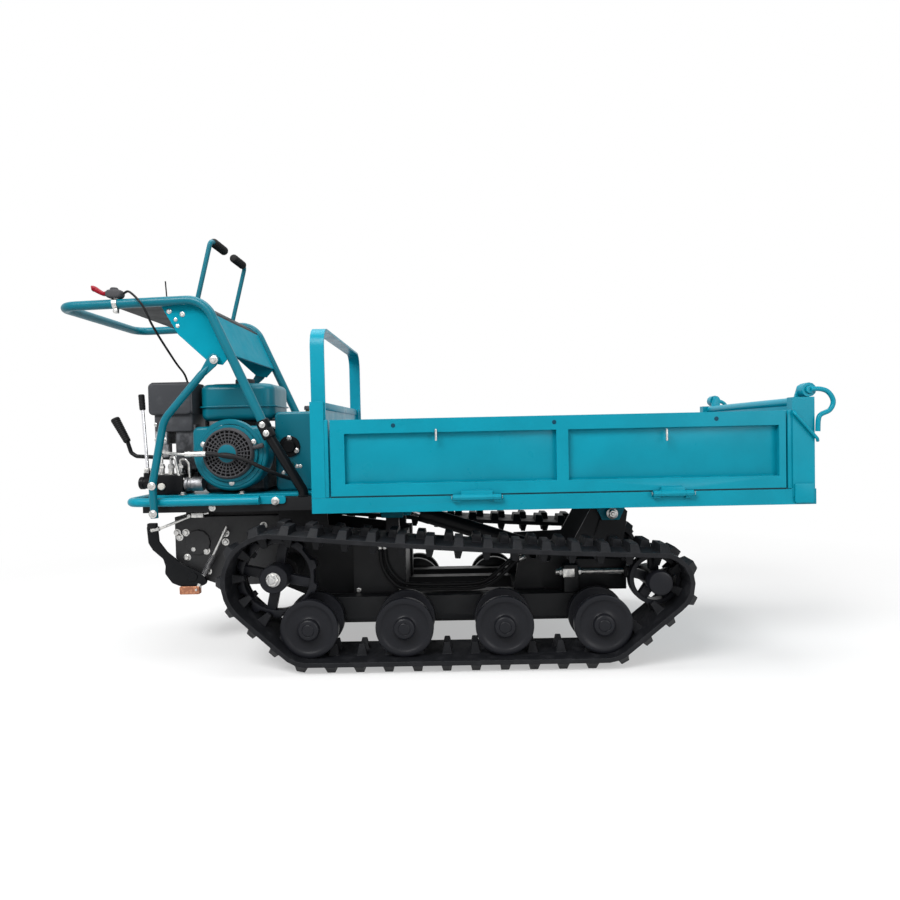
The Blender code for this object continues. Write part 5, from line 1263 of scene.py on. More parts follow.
@dataclass
class Undercarriage:
    """Rubber tracks with their rollers, idlers, sprockets, beams and tensioners."""

    offset: float = 0.28
    roller_xs: tuple = (-0.324, -0.081, 0.174, 0.424)
    sprocket_place: Point = (-0.414, 0.0, 0.235)
    idler_place: Point = (0.566, 0.0, 0.212)
    idler_spokes: int = 5
    sprocket_spokes: int = 4
    teeth: int = 10
    tooth_height: float = 0.01
    sprocket_half: float = 0.015
    spoke_width: float = 0.024
    beam_inner: float = 0.16
    beam_outer: float = 0.205
    beam_top: float = 0.158
    screw_x: float = 0.325
    screw_length: float = 0.195
    screw_threads: int = 96
    roller_face: tuple = mm("0 71.6, 11 71.8, 14 71.2, 15 70.2, 16 71.2, 22 70.8, 25.6 69.2, 27.5 66.2, 27.7 56, "
                            "31 53.7, 44 52.6, 56 53.6, 60.2 56, 63.5 57.8, 70.8 58, 73.7 57, 74.5 54.5, 74.5 40, "
                            "73.6 37.6, 70 37, 30 37, 24 33, 24 -33, 30 -37, 70 -37, 73.6 -37.6, 74.5 -40, "
                            "74.5 -54.5, 73.7 -57, 70.8 -58, 40 -59.6, 24 -64.5, 0 -64.8")
    nipple: tuple = mm("2.2 71.7, 3 70, 3 67.4")
    idler_hub: tuple = mm("24 71.6, 29 69.8, 31 66.2, 31 39.2, 27 37, 27 -64, 25.5 -64.8")
    idler_rim: tuple = mm("54 -14.5, 55 -15.5, 65 -15.5, 66 -14")
    sprocket_hub: tuple = mm("34 50, 36 48, 36 -24.5, 34.5 -26")
    washer: tuple = mm("18 49.5, 18.6 50.3, 18.6 51.7, 17.8 52.5")
    nut: tuple = mm("15.8 52, 16.5 53.2, 16.5 61.2, 14.5 62.8")
    stud: tuple = mm("8.5 60, 8.5 66.4, 7 67.8")

    def roller(self, word: str, side: float, number: int, x: float) -> None:
        """Bottom roller: two dished discs on one hub, turned in one profile, and a grease nipple.

        Args:
            word: Name of the side.
            side: -1 on the right and 1 on the left.
            number: Its number, counted from the rear.
            x: Place along the machine.
        """
        node = f"road_roller_{word}_{number}"
        low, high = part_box(node)
        centre, way = (x, side * self.offset, (low.z + high.z) / 2), (0.0, side, 0.0)
        show(f"{node}_wheel", WHEEL_BLACK, turned(self.roller_face, centre, way, 64),
             drum(self.nipple, centre, way, 10), solid=node)

    def idler(self, word: str, side: float) -> None:
        """Front wheel: a rim with five spokes on a hub with a domed cap.

        Args:
            word: Name of the side.
            side: -1 on the right and 1 on the left.
        """
        node = f"idler_wheel_{word}"
        centre, way = (self.idler_place[0], side * self.offset, self.idler_place[2]), (0.0, side, 0.0)
        show(f"{node}_casting", WHEEL_BLACK, turned(mirrored(self.idler_rim), centre, way, 72, True),
             drum(self.idler_hub, centre, way),
             *spokes(centre, self.idler_spokes, 20, (0.024, 0.0555), self.spoke_width, 0.0115), solid=node)

    def sprocket(self, word: str, side: float) -> None:
        """Toothed ring with four spokes and a hub, and the nut on its axle.

        A tooth is nine points at set shares of its pitch; each has its radius between root and tip.

        Args:
            word: Name of the side.
            side: -1 on the right and 1 on the left.
        """
        node = f"drive_sprocket_{word}"
        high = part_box(node)[1]
        centre = (self.sprocket_place[0], side * self.offset, self.sprocket_place[2])
        root = high.z - centre[2] + 0.0005 - self.tooth_height
        shares = np.array((-0.5, -0.3, -0.215, -0.17, -0.1, 0.1, 0.17, 0.215, 0.3))
        rise = np.array((0.0, 0.0, 0.18, 0.8, 1.0, 1.0, 0.8, 0.18, 0.0))
        angle = ((np.arange(self.teeth)[:, None] + 0.5 + shares) * 2 * np.pi / self.teeth).ravel()
        radius = np.tile(root + rise * self.tooth_height, self.teeth)
        way = np.stack((np.cos(angle), np.sin(angle)), axis=-1)
        middle, bore = np.array((centre[0], centre[2])), root - 0.0095
        ring = ring_plate(middle + radius[:, None] * way, middle + bore * way, centre[1] - self.sprocket_half,
                          centre[1] + self.sprocket_half, 0.0016)
        out = (0.0, side, 0.0)
        show(f"{node}_casting", WHEEL_BLACK, ring,
             *spokes(centre, self.sprocket_spokes, -12, (0.03, bore + 0.003), self.spoke_width, 0.011),
             drum(self.sprocket_hub, centre, out, 48), solid=node)
        show(f"sprocket_nut_{word}", ZINC, *(drum(rows, centre, out, steps) for rows, steps in
                                             ((self.washer, 40), (self.nut, 6), (self.stud, 24))))

    def tensioner(self, word: str, side: float) -> None:
        """Nut block and slide in black, with a bright threaded rod between them.

        Args:
            word: Name of the side.
            side: -1 on the right and 1 on the left.
        """
        node = f"track_tensioner_{word}"
        inner, outer = side * (self.beam_inner + 0.006), side * (self.beam_outer - 0.004)
        wheel_x, _, axis = self.idler_place
        foot = self.beam_top + GAP
        show(f"{node}_body", FRAME_BLACK, block((0.345, inner, foot), (0.385, outer, axis + 0.022), 0.003, 0.002),
             block((0.383, side * (self.beam_inner + 0.001), foot + 0.001),
                   (0.522, side * (self.beam_inner + 0.012), axis + 0.033), 0.002, 0.0015),
             block((0.51, inner, axis - 0.016), (0.6, outer, axis + 0.016), 0.003, 0.002, Plane.YZ),
             rod((wheel_x, side * (self.beam_outer - 0.01), axis),
                 (wheel_x, side * (self.offset - 0.0653), axis), 0.012), solid=node)
        y = side * (self.beam_inner + self.beam_outer) / 2
        share = np.linspace(0.0, 1.0, 241)
        thread = 0.0077 + 0.0003 * np.cos(share * self.screw_threads * 2 * np.pi)
        screw = np.stack((thread, share * self.screw_length), axis=-1)
        show(f"{node}_screw", ZINC, drum(screw, (self.screw_x, y, axis), AHEAD, 16),
             *(bolts(0.0185, [(x, y, axis)], way) for x, way in ((0.385, AHEAD), (0.345, BACK))),
             block((0.343, side * 0.2008, 0.2005), (0.374, side * 0.2035, 0.224), 0.002, 0.0008, Plane.XZ))

    def build(self) -> None:
        """Both sides, from the belts to the beams."""
        for word, side in SIDES:
            recast(f"rubber_track_{word}", RUBBER, 0.0016, crease=28.0)
            recast(f"track_beam_{word}", FRAME_BLACK, 0.003, segments=3)
            for number, x in enumerate(self.roller_xs, 1):
                self.roller(word, side, number, x)
            for build in (self.idler, self.sprocket, self.tensioner):
                build(word, side)


# Frame and final drive


@dataclass
class Chassis:
    """Welded frame, gearbox with its bolts, brake arm, pan and rear bumper."""

    plate_outer: float = 0.12
    gearbox_face: float = 0.1
    cover_face: float = 0.155
    tab_face: float = 0.2283
    pan_half: float = 0.222
    bumper_z: float = 0.43
    sprocket: Point = (-0.414, 0.235)
    arm: tuple = mm("-415 120, -385 125, -381 72, -359 42, -320 9, -261 -20, -242 -50, -277 -62, -326 -56, -346 -48, "
                    "-366 -20, -364 2, -370 22, -399 48, -411 68")
    arm_levels: tuple = (-0.124, -0.114)
    arm_boss: tuple = mm("14 0, 14 24.5, 12.5 26")
    upper_rod: tuple = mm("-398 105, -375 110, -285 144, -236 152")
    lower_rod: tuple = ((-0.276, -0.067), (-0.186, 0.111))
    gearbox_bolts: tuple = mm("-750 329, -743.5 315.6, -725 328.4, -703 280.4, -667 274.5, -610 324.2, -610.8 299.6, "
                              "-663.5 215.5, -723 256.7, -560 200, -500 345, -470 195")
    cover_bolts: tuple = mm("-222 300, -101 300, -222 165, -101 165")
    pan_bolts: tuple = ((-0.603, 0.411),)

    def from_sprocket(self, points: Sequence[Point], y: float) -> np.ndarray:
        """Points given from the sprocket's axis, at one Y."""
        flat = np.asarray(points) + self.sprocket
        return np.stack((flat[:, 0], np.full(len(flat), y), flat[:, 1]), axis=-1)

    def brake(self) -> None:
        """Curved arm with its rubber pad, copper block and zinc pull rods."""
        low, high = self.arm_levels
        outline = eased(np.asarray(self.arm) + self.sprocket, 0.01, True, 4)
        show("brake_arm_plate", SATIN, slab(outline, low, high, 0.0018),
             drum(self.arm_boss, (-0.7, -self.gearbox_face - GAP, 0.205), NEAR, 28), solid="brake_arm")
        show("brake_shoe", COPPER,
             block((-0.738, low - 0.004, 0.155), (-0.681, high + 0.004, 0.178), 0.003, 0.0012, Plane.XZ))
        show("brake_pad", HOSE,
             block((-0.826, low - 0.0025, 0.345), (-0.8, high + 0.0025, 0.36), 0.003, 0.002, Plane.XZ))
        middle = (low + high) / 2
        upper, lower = (self.from_sprocket(route, middle) for route in (self.upper_rod, self.lower_rod))
        skins = [tube(upper, 0.004, 0.02), tube(lower, 0.004)]
        for start, end in (upper[:2], lower[:2]):
            way = unit(end - start)
            skins += [rod(start - way * 0.006, start + way * 0.02, 0.0068, 20, 0.0015),
                      rod(start + (0, 0.008, 0), start - (0, 0.0105, 0), 0.0035, 14)]
        show("brake_pull_rods", ZINC, *skins,
             block((-0.699, middle - 0.0075, 0.374), (-0.664, middle + 0.0075, 0.388), 0.002, 0.0012),
             rod((-0.705, middle + 0.008, 0.379), (-0.705, middle - 0.008, 0.379), 0.0058, 18, 0.0012))
        way = unit(lower[1] - lower[0])
        show("brake_spring", STEEL, spring(lower[0] + way * 0.045, lower[0] + way * 0.11, 0.0078, 0.0013, 13))

    def welds(self) -> None:
        """Beads where the pan, plates and cross tubes meet."""
        routes = []
        for _, side in SIDES:
            y = side * self.plate_outer
            routes += [((-0.45, y, 0.399), (-0.312, y, 0.399)), ((0.213, y, 0.152), (0.305, y, 0.152)),
                       ((0.213, y, 0.102), (0.305, y, 0.102)), ((-0.205, y * 1.29, 0.1525), (-0.108, y * 1.29, 0.1525)),
                       ((-0.095, y, 0.151), (-0.095, y, 0.308)), ((0.445, y, 0.3), (0.47, y, 0.372))]
        show("frame_welds", FRAME_BLACK, *(bead(route, 0.0028) for route in routes))

    def bumper(self) -> None:
        """Tube round the rear of the pan, on flat tabs with a bolt in each."""
        y, z = 0.2346, self.bumper_z
        skins = [tube(((-0.471, -y, z), (-0.827, -y, z), (-0.827, y, z), (-0.471, y, z)), 0.012, 0.035, 24)]
        for _, side in SIDES:
            skins += [block((-0.491, side * 0.2223, z - 0.011), (-0.402, side * self.tab_face, z + 0.011),
                            0.008, 0.0012, Plane.XZ),
                      bead(((-0.489, side * self.tab_face, z + 0.0095), (-0.471, side * 0.23, z + 0.0095)), 0.0022)]
        show("rear_bumper_tube", TEAL, *skins, solid="rear_bumper")
        show("bumper_bolts", ZINC, *flank_bolts((0.013, self.tab_face, ((-0.43, z - 0.0035),), 10)))

    def build(self) -> None:
        """Frame, drive, brake and bumper."""
        recast("chassis_frame", FRAME_BLACK, 0.0018)
        recast("gearbox", DRIVE_CAST, 0.0045, segments=3)
        recast("engine_deck", TEAL, 0.0012)
        self.brake()
        show("frame_bolts", ZINC, *flank_bolts((0.0125, self.gearbox_face, self.gearbox_bolts, 14),
                                               (0.008, self.cover_face, self.cover_bolts, 8),
                                               (0.011, self.pan_half, self.pan_bolts, 8)))
        self.welds()
        self.bumper()


# Handlebar and controls


@dataclass
class OperatorStation:
    """Handlebar with its struts, braces, console, levers and throttle."""

    half: float = 0.23
    bar_radius: float = 0.0125
    strut_radius: float = 0.0135
    knee: Point = (-0.606, 0.97)
    end: Point = (-0.9965, 0.959)
    clamp: Point = (-0.4495, 0.62)
    clamp_half: float = 0.026
    foot_x: float = -0.358
    pan_half: float = 0.222
    pan_top: float = 0.4357
    cheek_face: float = 0.2168
    brace: tuple = mm("21 -160, -113 -320, -142 -492, -139 -580")
    brace_ys: tuple = (0.2275, 0.2569)
    lever: tuple = ((-0.655, 0.9718), (-0.61, 1.147))
    lever_y: float = 0.154
    shell: tuple = mm("16 0, 18 2, 18 23, 17.2 24.5, 17.2 27.5, 18 29, 18 50, 16 52")
    collar: tuple = mm("11 0, 11 3, 8 5")

    def slope(self) -> np.ndarray:
        """Direction from the clamps to the knees."""
        return unit((self.knee[0] - self.clamp[0], 0.0, self.knee[1] - self.clamp[1]))

    def handlebar(self) -> None:
        """One bent tube from clamp to clamp."""
        foot = np.array((self.clamp[0], 0.0, self.clamp[1])) + self.slope() * (self.clamp_half + GAP)
        legs = ((foot[0], foot[2]), self.knee, self.end)
        corners = [(x, -self.half, z) for x, z in legs] + [(x, self.half, z) for x, z in legs[::-1]]
        bends = (0.0, 0.07, 0.045, 0.045, 0.07, 0.0)
        show("handlebar_tube", SHADED_TEAL, tube(corners, self.bar_radius, bends, 28, 14), solid="handlebar")

    def strut(self, word: str, side: float) -> None:
        """Lower strut with the clamp that grips the handlebar.

        Args:
            word: Name of the side.
            side: -1 on the right and 1 on the left.
        """
        node, slope, radius = f"handle_strut_{word}", self.slope(), self.strut_radius
        centre = np.array((self.clamp[0], side * self.half, self.clamp[1]))
        x, y = self.foot_x, side * (self.pan_half - radius)
        corners = (centre - slope * (self.clamp_half - 0.01), (x, y, self.pan_top + 0.015), (x, y, self.pan_top + GAP))
        weld = [(x + radius * math.cos(a), y + radius * math.sin(a), self.pan_top + 0.002)
                for a in np.linspace(0, 2 * np.pi, 25)]
        show(f"{node}_tube", SATIN, tube(corners, radius, 0.03, 24),
             drum(self.shell, centre - slope * self.clamp_half, slope, 32), bead(weld, 0.0022), solid=node)
        spots = [centre + slope * shift + (0.0, side * 0.0172, 0.0) for shift in (-0.012, 0.013)]
        show(f"clamp_bolts_{word}", ZINC, bolts(0.01, spots, (0.0, side, 0.0), 20, 0.002))

    def brace_bar(self, word: str, side: float) -> None:
        """Bent brace whose top is pressed flat and bolted to the console's cheek.

        Args:
            word: Name of the side.
            side: -1 on the right and 1 on the left.
        """
        node = f"handle_brace_{word}"
        top_y, low_y = (side * y for y in self.brace_ys)
        corners = [(self.knee[0] + x, y, self.knee[1] + z)
                   for (x, z), y in zip(self.brace, (top_y, (top_y + low_y) / 2, low_y, low_y))]
        line = eased(corners, (0.0, 0.08, 0.08, 0.0), False, 12)
        way = unit(line[1] - line[0])
        line = np.concatenate((line[0] + way * np.array((0.024, 0.034, 0.044, 0.054))[:, None], line[1:]))
        size = np.interp(np.arange(len(line)), (0, 1, 2, 3), (0.36, 0.62, 0.88, 1.0))
        half = mm("50 8.5, 10 15, -14 13.5")
        flat = np.array([(x, -y) for x, y in half[::-1]] + list(half))
        outline = eased(aimed(flat, (way[0], way[2]), (corners[0][0], corners[0][2])),
                        (0.011, 0.02, 0.004, 0.004, 0.02, 0.011), True, 5)
        show(f"{node}_tube", SHADED_TEAL, swept(line, ring_profile(0.01, 20), size),
             slab(outline, top_y - 0.0034, top_y + 0.0034, 0.0012), solid=node)
        spots = [np.add(corners[0], (0.001, side * 0.0032, -0.0015)), np.add(corners[3], (0.0, side * 0.0096, 0.012)),
                 np.add(corners[3], (-0.001, side * 0.0096, 0.086))]
        show(f"brace_bolts_{word}", ZINC, bolts(0.013, spots, (0.0, side, 0.0), 12))

    def steering(self, word: str, side: float) -> None:
        """Steering lever with a ribbed grip turned inwards.

        Args:
            word: Name of the side.
            side: -1 on the right and 1 on the left.
        """
        (foot_x, foot_z), (x, z) = self.lever
        y = side * self.lever_y
        corners = ((foot_x, y, foot_z), (x, y, z), (x, y - side * 0.03, z))
        show(f"steering_lever_{word}_rod", SHADED_TEAL, tube(corners, 0.0065, (0.0, 0.02, 0.0), 20),
             drum(self.collar, (foot_x, y, 0.9705), (0.2, 0, 1), 20), solid=f"steering_lever_{word}")
        show(f"steering_grip_{word}", GRIP,
             grip((x, y - side * 0.02, z), (x, y - side * 0.115, z), (0.0128, 0.0128), 22))

    def throttle(self) -> None:
        """Throttle body on the tube with a curved red-tipped lever and a zinc clamp."""
        y, axis = -self.half, self.end[1]
        top = axis + self.bar_radius
        pivot = mm("0 0, 8.5 0, 10.5 1, 10.5 5, 8 7.5, 0 8")
        show("throttle_body", PLASTIC,
             block((-0.866, y - 0.014, top + 0.0065), (-0.822, y + 0.014, top + 0.029), 0.0105, 0.006, Plane.XZ, 6),
             turned(pivot, (-0.846, y, top + 0.0275), UP, 24), solid="throttle_lever")
        arm = smooth([(x, y, top + rise) for x, rise in mm("-845 21.5, -860 21, -874 19.5, -888 26.5, -899 33.5, "
                                                           "-905 33.5")])
        size = np.interp(np.linspace(0, 1, len(arm)), (0.0, 0.45, 0.75, 0.95, 1.0), (1.05, 0.95, 1.15, 1.3, 0.75))
        show("throttle_arm", RED, swept(arm, rectangle(0.014, 0.012, 0.0045), size, False, (0, 1, 0)))
        band = mm("12.8 0, 14.5 0, 14.5 12, 12.8 12")
        low = axis + 0.004 - 0.0185
        show("throttle_clamp", ZINC, turned(band, (-0.848, y, axis + 0.004), (1.0, 0.0, 0.03), 32, True),
             rod((-0.842, y, top - 0.001), (-0.842, y, top + 0.0075), 0.006),
             block((-0.8475, y - 0.006, low - 0.006), (-0.8365, y + 0.006, low + 0.006), 0.002, 0.001),
             bolts(0.0075, [(-0.842, y - 0.006, low - 0.001)], NEAR, 12))

    def console(self) -> None:
        """Zinc bolts of the console's cheeks, and its thin rod."""
        rows = [(width, self.cheek_face, [(self.knee[0] + x, self.knee[1] + z) for x, z in places], 18)
                for width, places in ((0.0082, ((-0.1, -0.027), (-0.064, -0.036))),
                                      (0.006, ((-0.083, -0.05), (-0.078, -0.067))))]
        show("console_bolts", ZINC, *flank_bolts(*rows))
        show("console_rod", SATIN, rod((-0.798, 0.0, self.knee[1] - 0.003), (-0.804, 0.0, 1.073), 0.002, 12))

    def build(self) -> None:
        """All of the operator's station."""
        self.handlebar()
        recast("console_plate", CONSOLE_TEAL, 0.001)
        for word, side in SIDES:
            self.strut(word, side)
            self.brace_bar(word, side)
        for word, side in SIDES:
            self.steering(word, side)
        self.throttle()
        self.console()


# Engine and its tanks


@dataclass
class EngineBay:
    """Petrol engine with its starter, tank, air cleaner and silencer, and the oil tank."""

    crank: Point = (-0.558, 0.557)
    blower_radius: float = 0.103
    blower_top: float = 0.631
    blower_y: tuple = (-0.2, -0.125)
    tank_x: tuple = (-0.671, -0.46)
    tank_y: tuple = (-0.115, 0.07)
    tank_z: tuple = (0.648, 0.755)
    tank_seam: float = 0.688
    air_x: tuple = (-0.808, -0.682)
    air_y: tuple = (-0.14, -0.01)
    air_z: tuple = (0.667, 0.761)
    guard_bars: int = 10
    oil_x: tuple = (-0.457, -0.338)
    oil_y: tuple = (-0.115, 0.11)
    oil_top: float = 0.67
    oil_filler: Point = (-0.3775, -0.0025)
    deck_top: float = 0.444
    slots: int = 28
    cap_ribs: int = 26
    recoil_handle_angle: float = 12.0
    face_ring: tuple = mm("80 0, 80 1, 84 1.2, 90 1, 93.5 -4, 80 -4")
    recoil_flange: tuple = mm("78 0.3, 78 7, 76.5 8.5, 70 8.8, 70 0.3")
    recoil_rim: tuple = mm("70 0.3, 70 12, 68.8 18, 66.5 22.2, 64 24, 62.2 23.2, 61.5 20.5, 61.5 0.3")
    recoil_hub: tuple = mm("0 12, 28 12, 28 23.5, 25.5 25.6, 0 25.8")
    recoil_rings: tuple = (0.037, 0.0455, 0.054)

    def spot(self, radius: float, angle: float, y: float) -> Point:
        """Point round the crank's axis, at an angle in degrees."""
        turn = math.radians(angle)
        return (self.crank[0] + radius * math.cos(turn), y, self.crank[1] + radius * math.sin(turn))

    def blower(self) -> None:
        """Pressed housing, round below and square above, with a raised face ring."""
        x, z = self.crank
        radius, top = self.blower_radius, self.blower_top
        angle = np.radians(np.linspace(180.0, 360.0, 37))
        arc = np.stack((x + radius * np.cos(angle), z + radius * np.sin(angle)), axis=-1)
        corners = eased(((x + radius, z), (x + radius, top), (x - radius, top), (x - radius, z)),
                        (0.0, 0.018, 0.018, 0.0), False, 8)
        y_face, y_back = self.blower_y
        show("blower_shell", SHADED_TEAL,
             slab(np.concatenate((arc, corners[1:-1])), y_face + 0.0012, y_back, 0.01, Plane.XZ, 5),
             turned(self.face_ring, (x, y_face, z), NEAR, 64, True), solid="blower_housing")

    def recoil(self) -> None:
        """Starter cover: flange, rim, radial slots between ribs, rings and a round centre plate."""
        face = self.blower_y[0]
        centre = (self.crank[0], face, self.crank[1])
        show("recoil_flange", SHADED_TEAL, turned(self.recoil_flange, centre, NEAR, 72, True))
        rib = block((0.0265, -0.0015, 0.008), (0.0625, 0.0015, 0.0222), 0.0004, 0.0006, Plane.XY, 1)
        rings = [((radius - 0.0013, 0.0105), (radius - 0.0013, 0.0216), (radius + 0.0013, 0.0216),
                  (radius + 0.0013, 0.0105)) for radius in self.recoil_rings]
        show("recoil_cover", PLASTIC, turned(self.recoil_rim, centre, NEAR, 72, True),
             turned(self.recoil_hub, centre, NEAR, 48),
             drum(((0.063, 0.006), (0.063, 0.009)), centre, NEAR, 48),
             *fan(rib, self.slots, centre, UP, 0.5), *(turned(ring, centre, NEAR, 48, True) for ring in rings),
             solid="recoil_starter")
        show("recoil_centre", SHADED_TEAL, drum(mm("23.5 25.4, 24.2 25.7, 23.5 25.98"), centre, NEAR))
        spots = [self.spot(radius, angle, face - rise) for radius, angle, rise in
                 ((0.081, -88, 0.001), (0.0742, 24, 0.0085), (0.0742, 160, 0.0085))]
        show("recoil_bolts", ZINC, bolts(0.0085, spots, NEAR, 7))
        ends = (self.spot(radius, self.recoil_handle_angle, face - 0.012) for radius in (0.066, 0.098))
        show("recoil_handle", PLASTIC, grip(*ends, (0.006, 0.0075), 3))

    def tank(self) -> None:
        """Pressed fuel tank in two halves, with its seam flange and a ribbed cap."""
        (x0, x1), (y0, y1), (z0, z1) = self.tank_x, self.tank_y, self.tank_z
        centre = ((x0 + x1) / 2, (y0 + y1) / 2)
        outline, lip, cushion = (rectangle(x1 - x0 + wider, y1 - y0 + wider, corner, 8) + centre
                                 for wider, corner in ((0.0, 0.03), (0.012, 0.036), (-0.04, 0.03)))
        top = (*centre, z1)
        show("fuel_tank_shell", SHADED_TEAL, slab(outline, z0, z1 - 0.002, 0.018, Plane.XY, 7),
             slab(lip, self.tank_seam - 0.0022, self.tank_seam + 0.0022, 0.0012, Plane.XY),
             slab(cushion, z1 - 0.012, z1, 0.008, Plane.XY, 5),
             drum(mm("30 -4, 30 1, 27 4"), top, UP, 48), solid="fuel_tank")
        cap = mm("25.8 2, 27 3.5, 27 14.5, 25 16.8, 15 18")
        rib = block((0.0262, -0.0011, 0.0035), (0.0276, 0.0011, 0.014), 0.0003, 0.0003, Plane.XY, 1)
        show("fuel_cap", PLASTIC, drum(cap, top, UP, 56), *fan(rib, self.cap_ribs, top, ACROSS))
        spots = [(x, y, self.tank_seam + 0.0022) for x in (x0 + 0.004, x1 - 0.004) for y in (y0 + 0.04, y1 - 0.04)]
        show("tank_bolts", ZINC, bolts(0.0075, spots))

    def air_cleaner(self) -> None:
        """Moulded box with a lid, its narrower body, and the carburettor below."""
        (x0, x1), (y0, y1), (z0, z1) = self.air_x, self.air_y, self.air_z
        show("air_cleaner_body", GREY_PLASTIC,
             block((x0 + 0.001, y0 + 0.001, z0), (x1 - 0.002, y1 - 0.001, z1 - 0.003), 0.013, 0.007, Plane.XZ, 6),
             block((x0 + 0.012, y0 + 0.012, 0.62), (x1 - 0.004, y1 - 0.012, z0 + 0.01), 0.008, 0.003, steps=4),
             solid="air_cleaner")
        middle = ((x0 + x1) / 2, (y0 + y1) / 2)
        show("air_cleaner_lid", PLASTIC,
             block((x0 + 0.008, y0 + 0.002, z1 - 0.006), (x1 - 0.008, y1 - 0.002, z1 - 0.002), 0.012, 0.0015),
             block((x1 - 0.004, y0 + 0.003, z0 + 0.003), (x1, y1 - 0.003, z1 - 0.006), 0.01, 0.0015, Plane.YZ, 4),
             rod((*middle, z1 - 0.006), (*middle, z1), 0.01, 24, 0.002))
        y = y0 + 0.013
        show("carburettor", ALLOY, block((x0 + 0.012, y, 0.585), (-0.76, y + 0.076, z0 + 0.009), 0.006, 0.003),
             rod((-0.779, y + 0.038, 0.5455), (-0.779, y + 0.038, 0.59), 0.016, 28, 0.003))
        show("intake_block", CASTING, block((-0.74, y + 0.007, 0.51), (-0.68, -0.0683, 0.64), 0.006, 0.003))
        screws = [(x, y, z) for x in (-0.79, -0.766) for z in (0.597, 0.64)]
        show("carburettor_screws", ZINC, bolts(0.007, screws, NEAR))

    def silencer(self) -> None:
        """Silencer box with a slotted guard, on its pipe."""
        (x0, x1), (y0, y1), (z0, z1) = (-0.8, -0.69), (0.01, 0.13), (0.61, 0.7)
        outlet = mm("8.5 0, 11 0, 11 33, 8.5 33")
        show("silencer", STEEL, block((x0, y0, z0), (x1, y1 - 0.004, z1), 0.018, 0.01, Plane.XZ, 5),
             rod((-0.71, 0.04, 0.6065), (-0.71, 0.04, 0.64), 0.016, 24),
             turned(outlet, (-0.79, 0.07, 0.66), (-1.0, 0.0, -0.3), 28, True), solid="muffler")
        lefts = [x0 + 0.0105 * index for index in range(self.guard_bars)]
        bars = [block((x + 0.004, y1 - 0.004, z0 + 0.01), (x + 0.0095, y1, z1 - 0.01), 0.002, 0.001, Plane.XZ)
                for x in lefts]
        rails = [block((x0 + 0.002, y1 - 0.003, z), (x1 - 0.002, y1 - 0.001, z + 0.008), 0.002, 0.0005, Plane.XZ)
                 for z in (z0 + 0.008, z1 - 0.016)]
        show("silencer_guard", SATIN, *bars, *rails)

    def oil_tank(self) -> None:
        """Hydraulic oil tank with a bolted round flange, a cap and brass fittings."""
        (x0, x1), (y0, y1), top = self.oil_x, self.oil_y, self.oil_top
        filler = (*self.oil_filler, top)
        show("oil_tank_shell", SHADED_TEAL,
             block((x0, y0, self.deck_top + GAP), (x1, y1, top), 0.014, 0.008, Plane.XZ, 6),
             drum(((0.027, 0.0), (0.027, 0.002)), filler, UP, 36), solid="oil_tank")
        centre = (x0 + 0.042, y0, self.crank[1] + 0.014)
        flange = mm("30 0, 30 4.5, 28.5 5.8, 19 6.2, 17.5 12.5, 16 13.8")
        show("oil_flange", SATIN, drum(flange, centre, NEAR, 48))
        spots = [(centre[0] + 0.0238 * math.cos(a), y0 - 0.006, centre[2] + 0.0238 * math.sin(a))
                 for a in np.radians((90.0, 210.0, 330.0))]
        small = [(x0 + 0.022, y0, 0.497), (x0 + 0.062, y0, 0.514), (x0 + 0.071, y0, 0.514)]
        show("oil_tank_bolts", ZINC, bolts(0.0085, spots, NEAR, 10), bolts(0.0065, small, NEAR, 5))
        show("oil_tank_fittings", BRASS,
             rod((x0 + 0.047, y0 + 0.001, 0.519), (x0 + 0.047, y0 - 0.012, 0.519), 0.0065, 6, 0.001),
             rod((*self.oil_filler, top + 0.002), (*self.oil_filler, top + 0.008), 0.015, 6, 0.001))
        cap = mm("18 8, 18 16.5, 16 19.8")
        show("oil_cap", PLASTIC, drum(cap, filler, UP, 32))

    def build(self) -> None:
        """All of the engine bay."""
        recast("engine_block", CASTING, 0.0016)
        recast("belt_guard", SATIN, 0.0025, segments=3)
        for build in (self.blower, self.recoil, self.tank, self.air_cleaner, self.silencer, self.oil_tank):
            build()
        spots = [(x, y, self.deck_top) for x in (-0.698, -0.534) for y in (-0.18, 0.165)]
        show("deck_bolts", ZINC, bolts(0.014, spots, turn=12))


# Hydraulics, levers and hoses


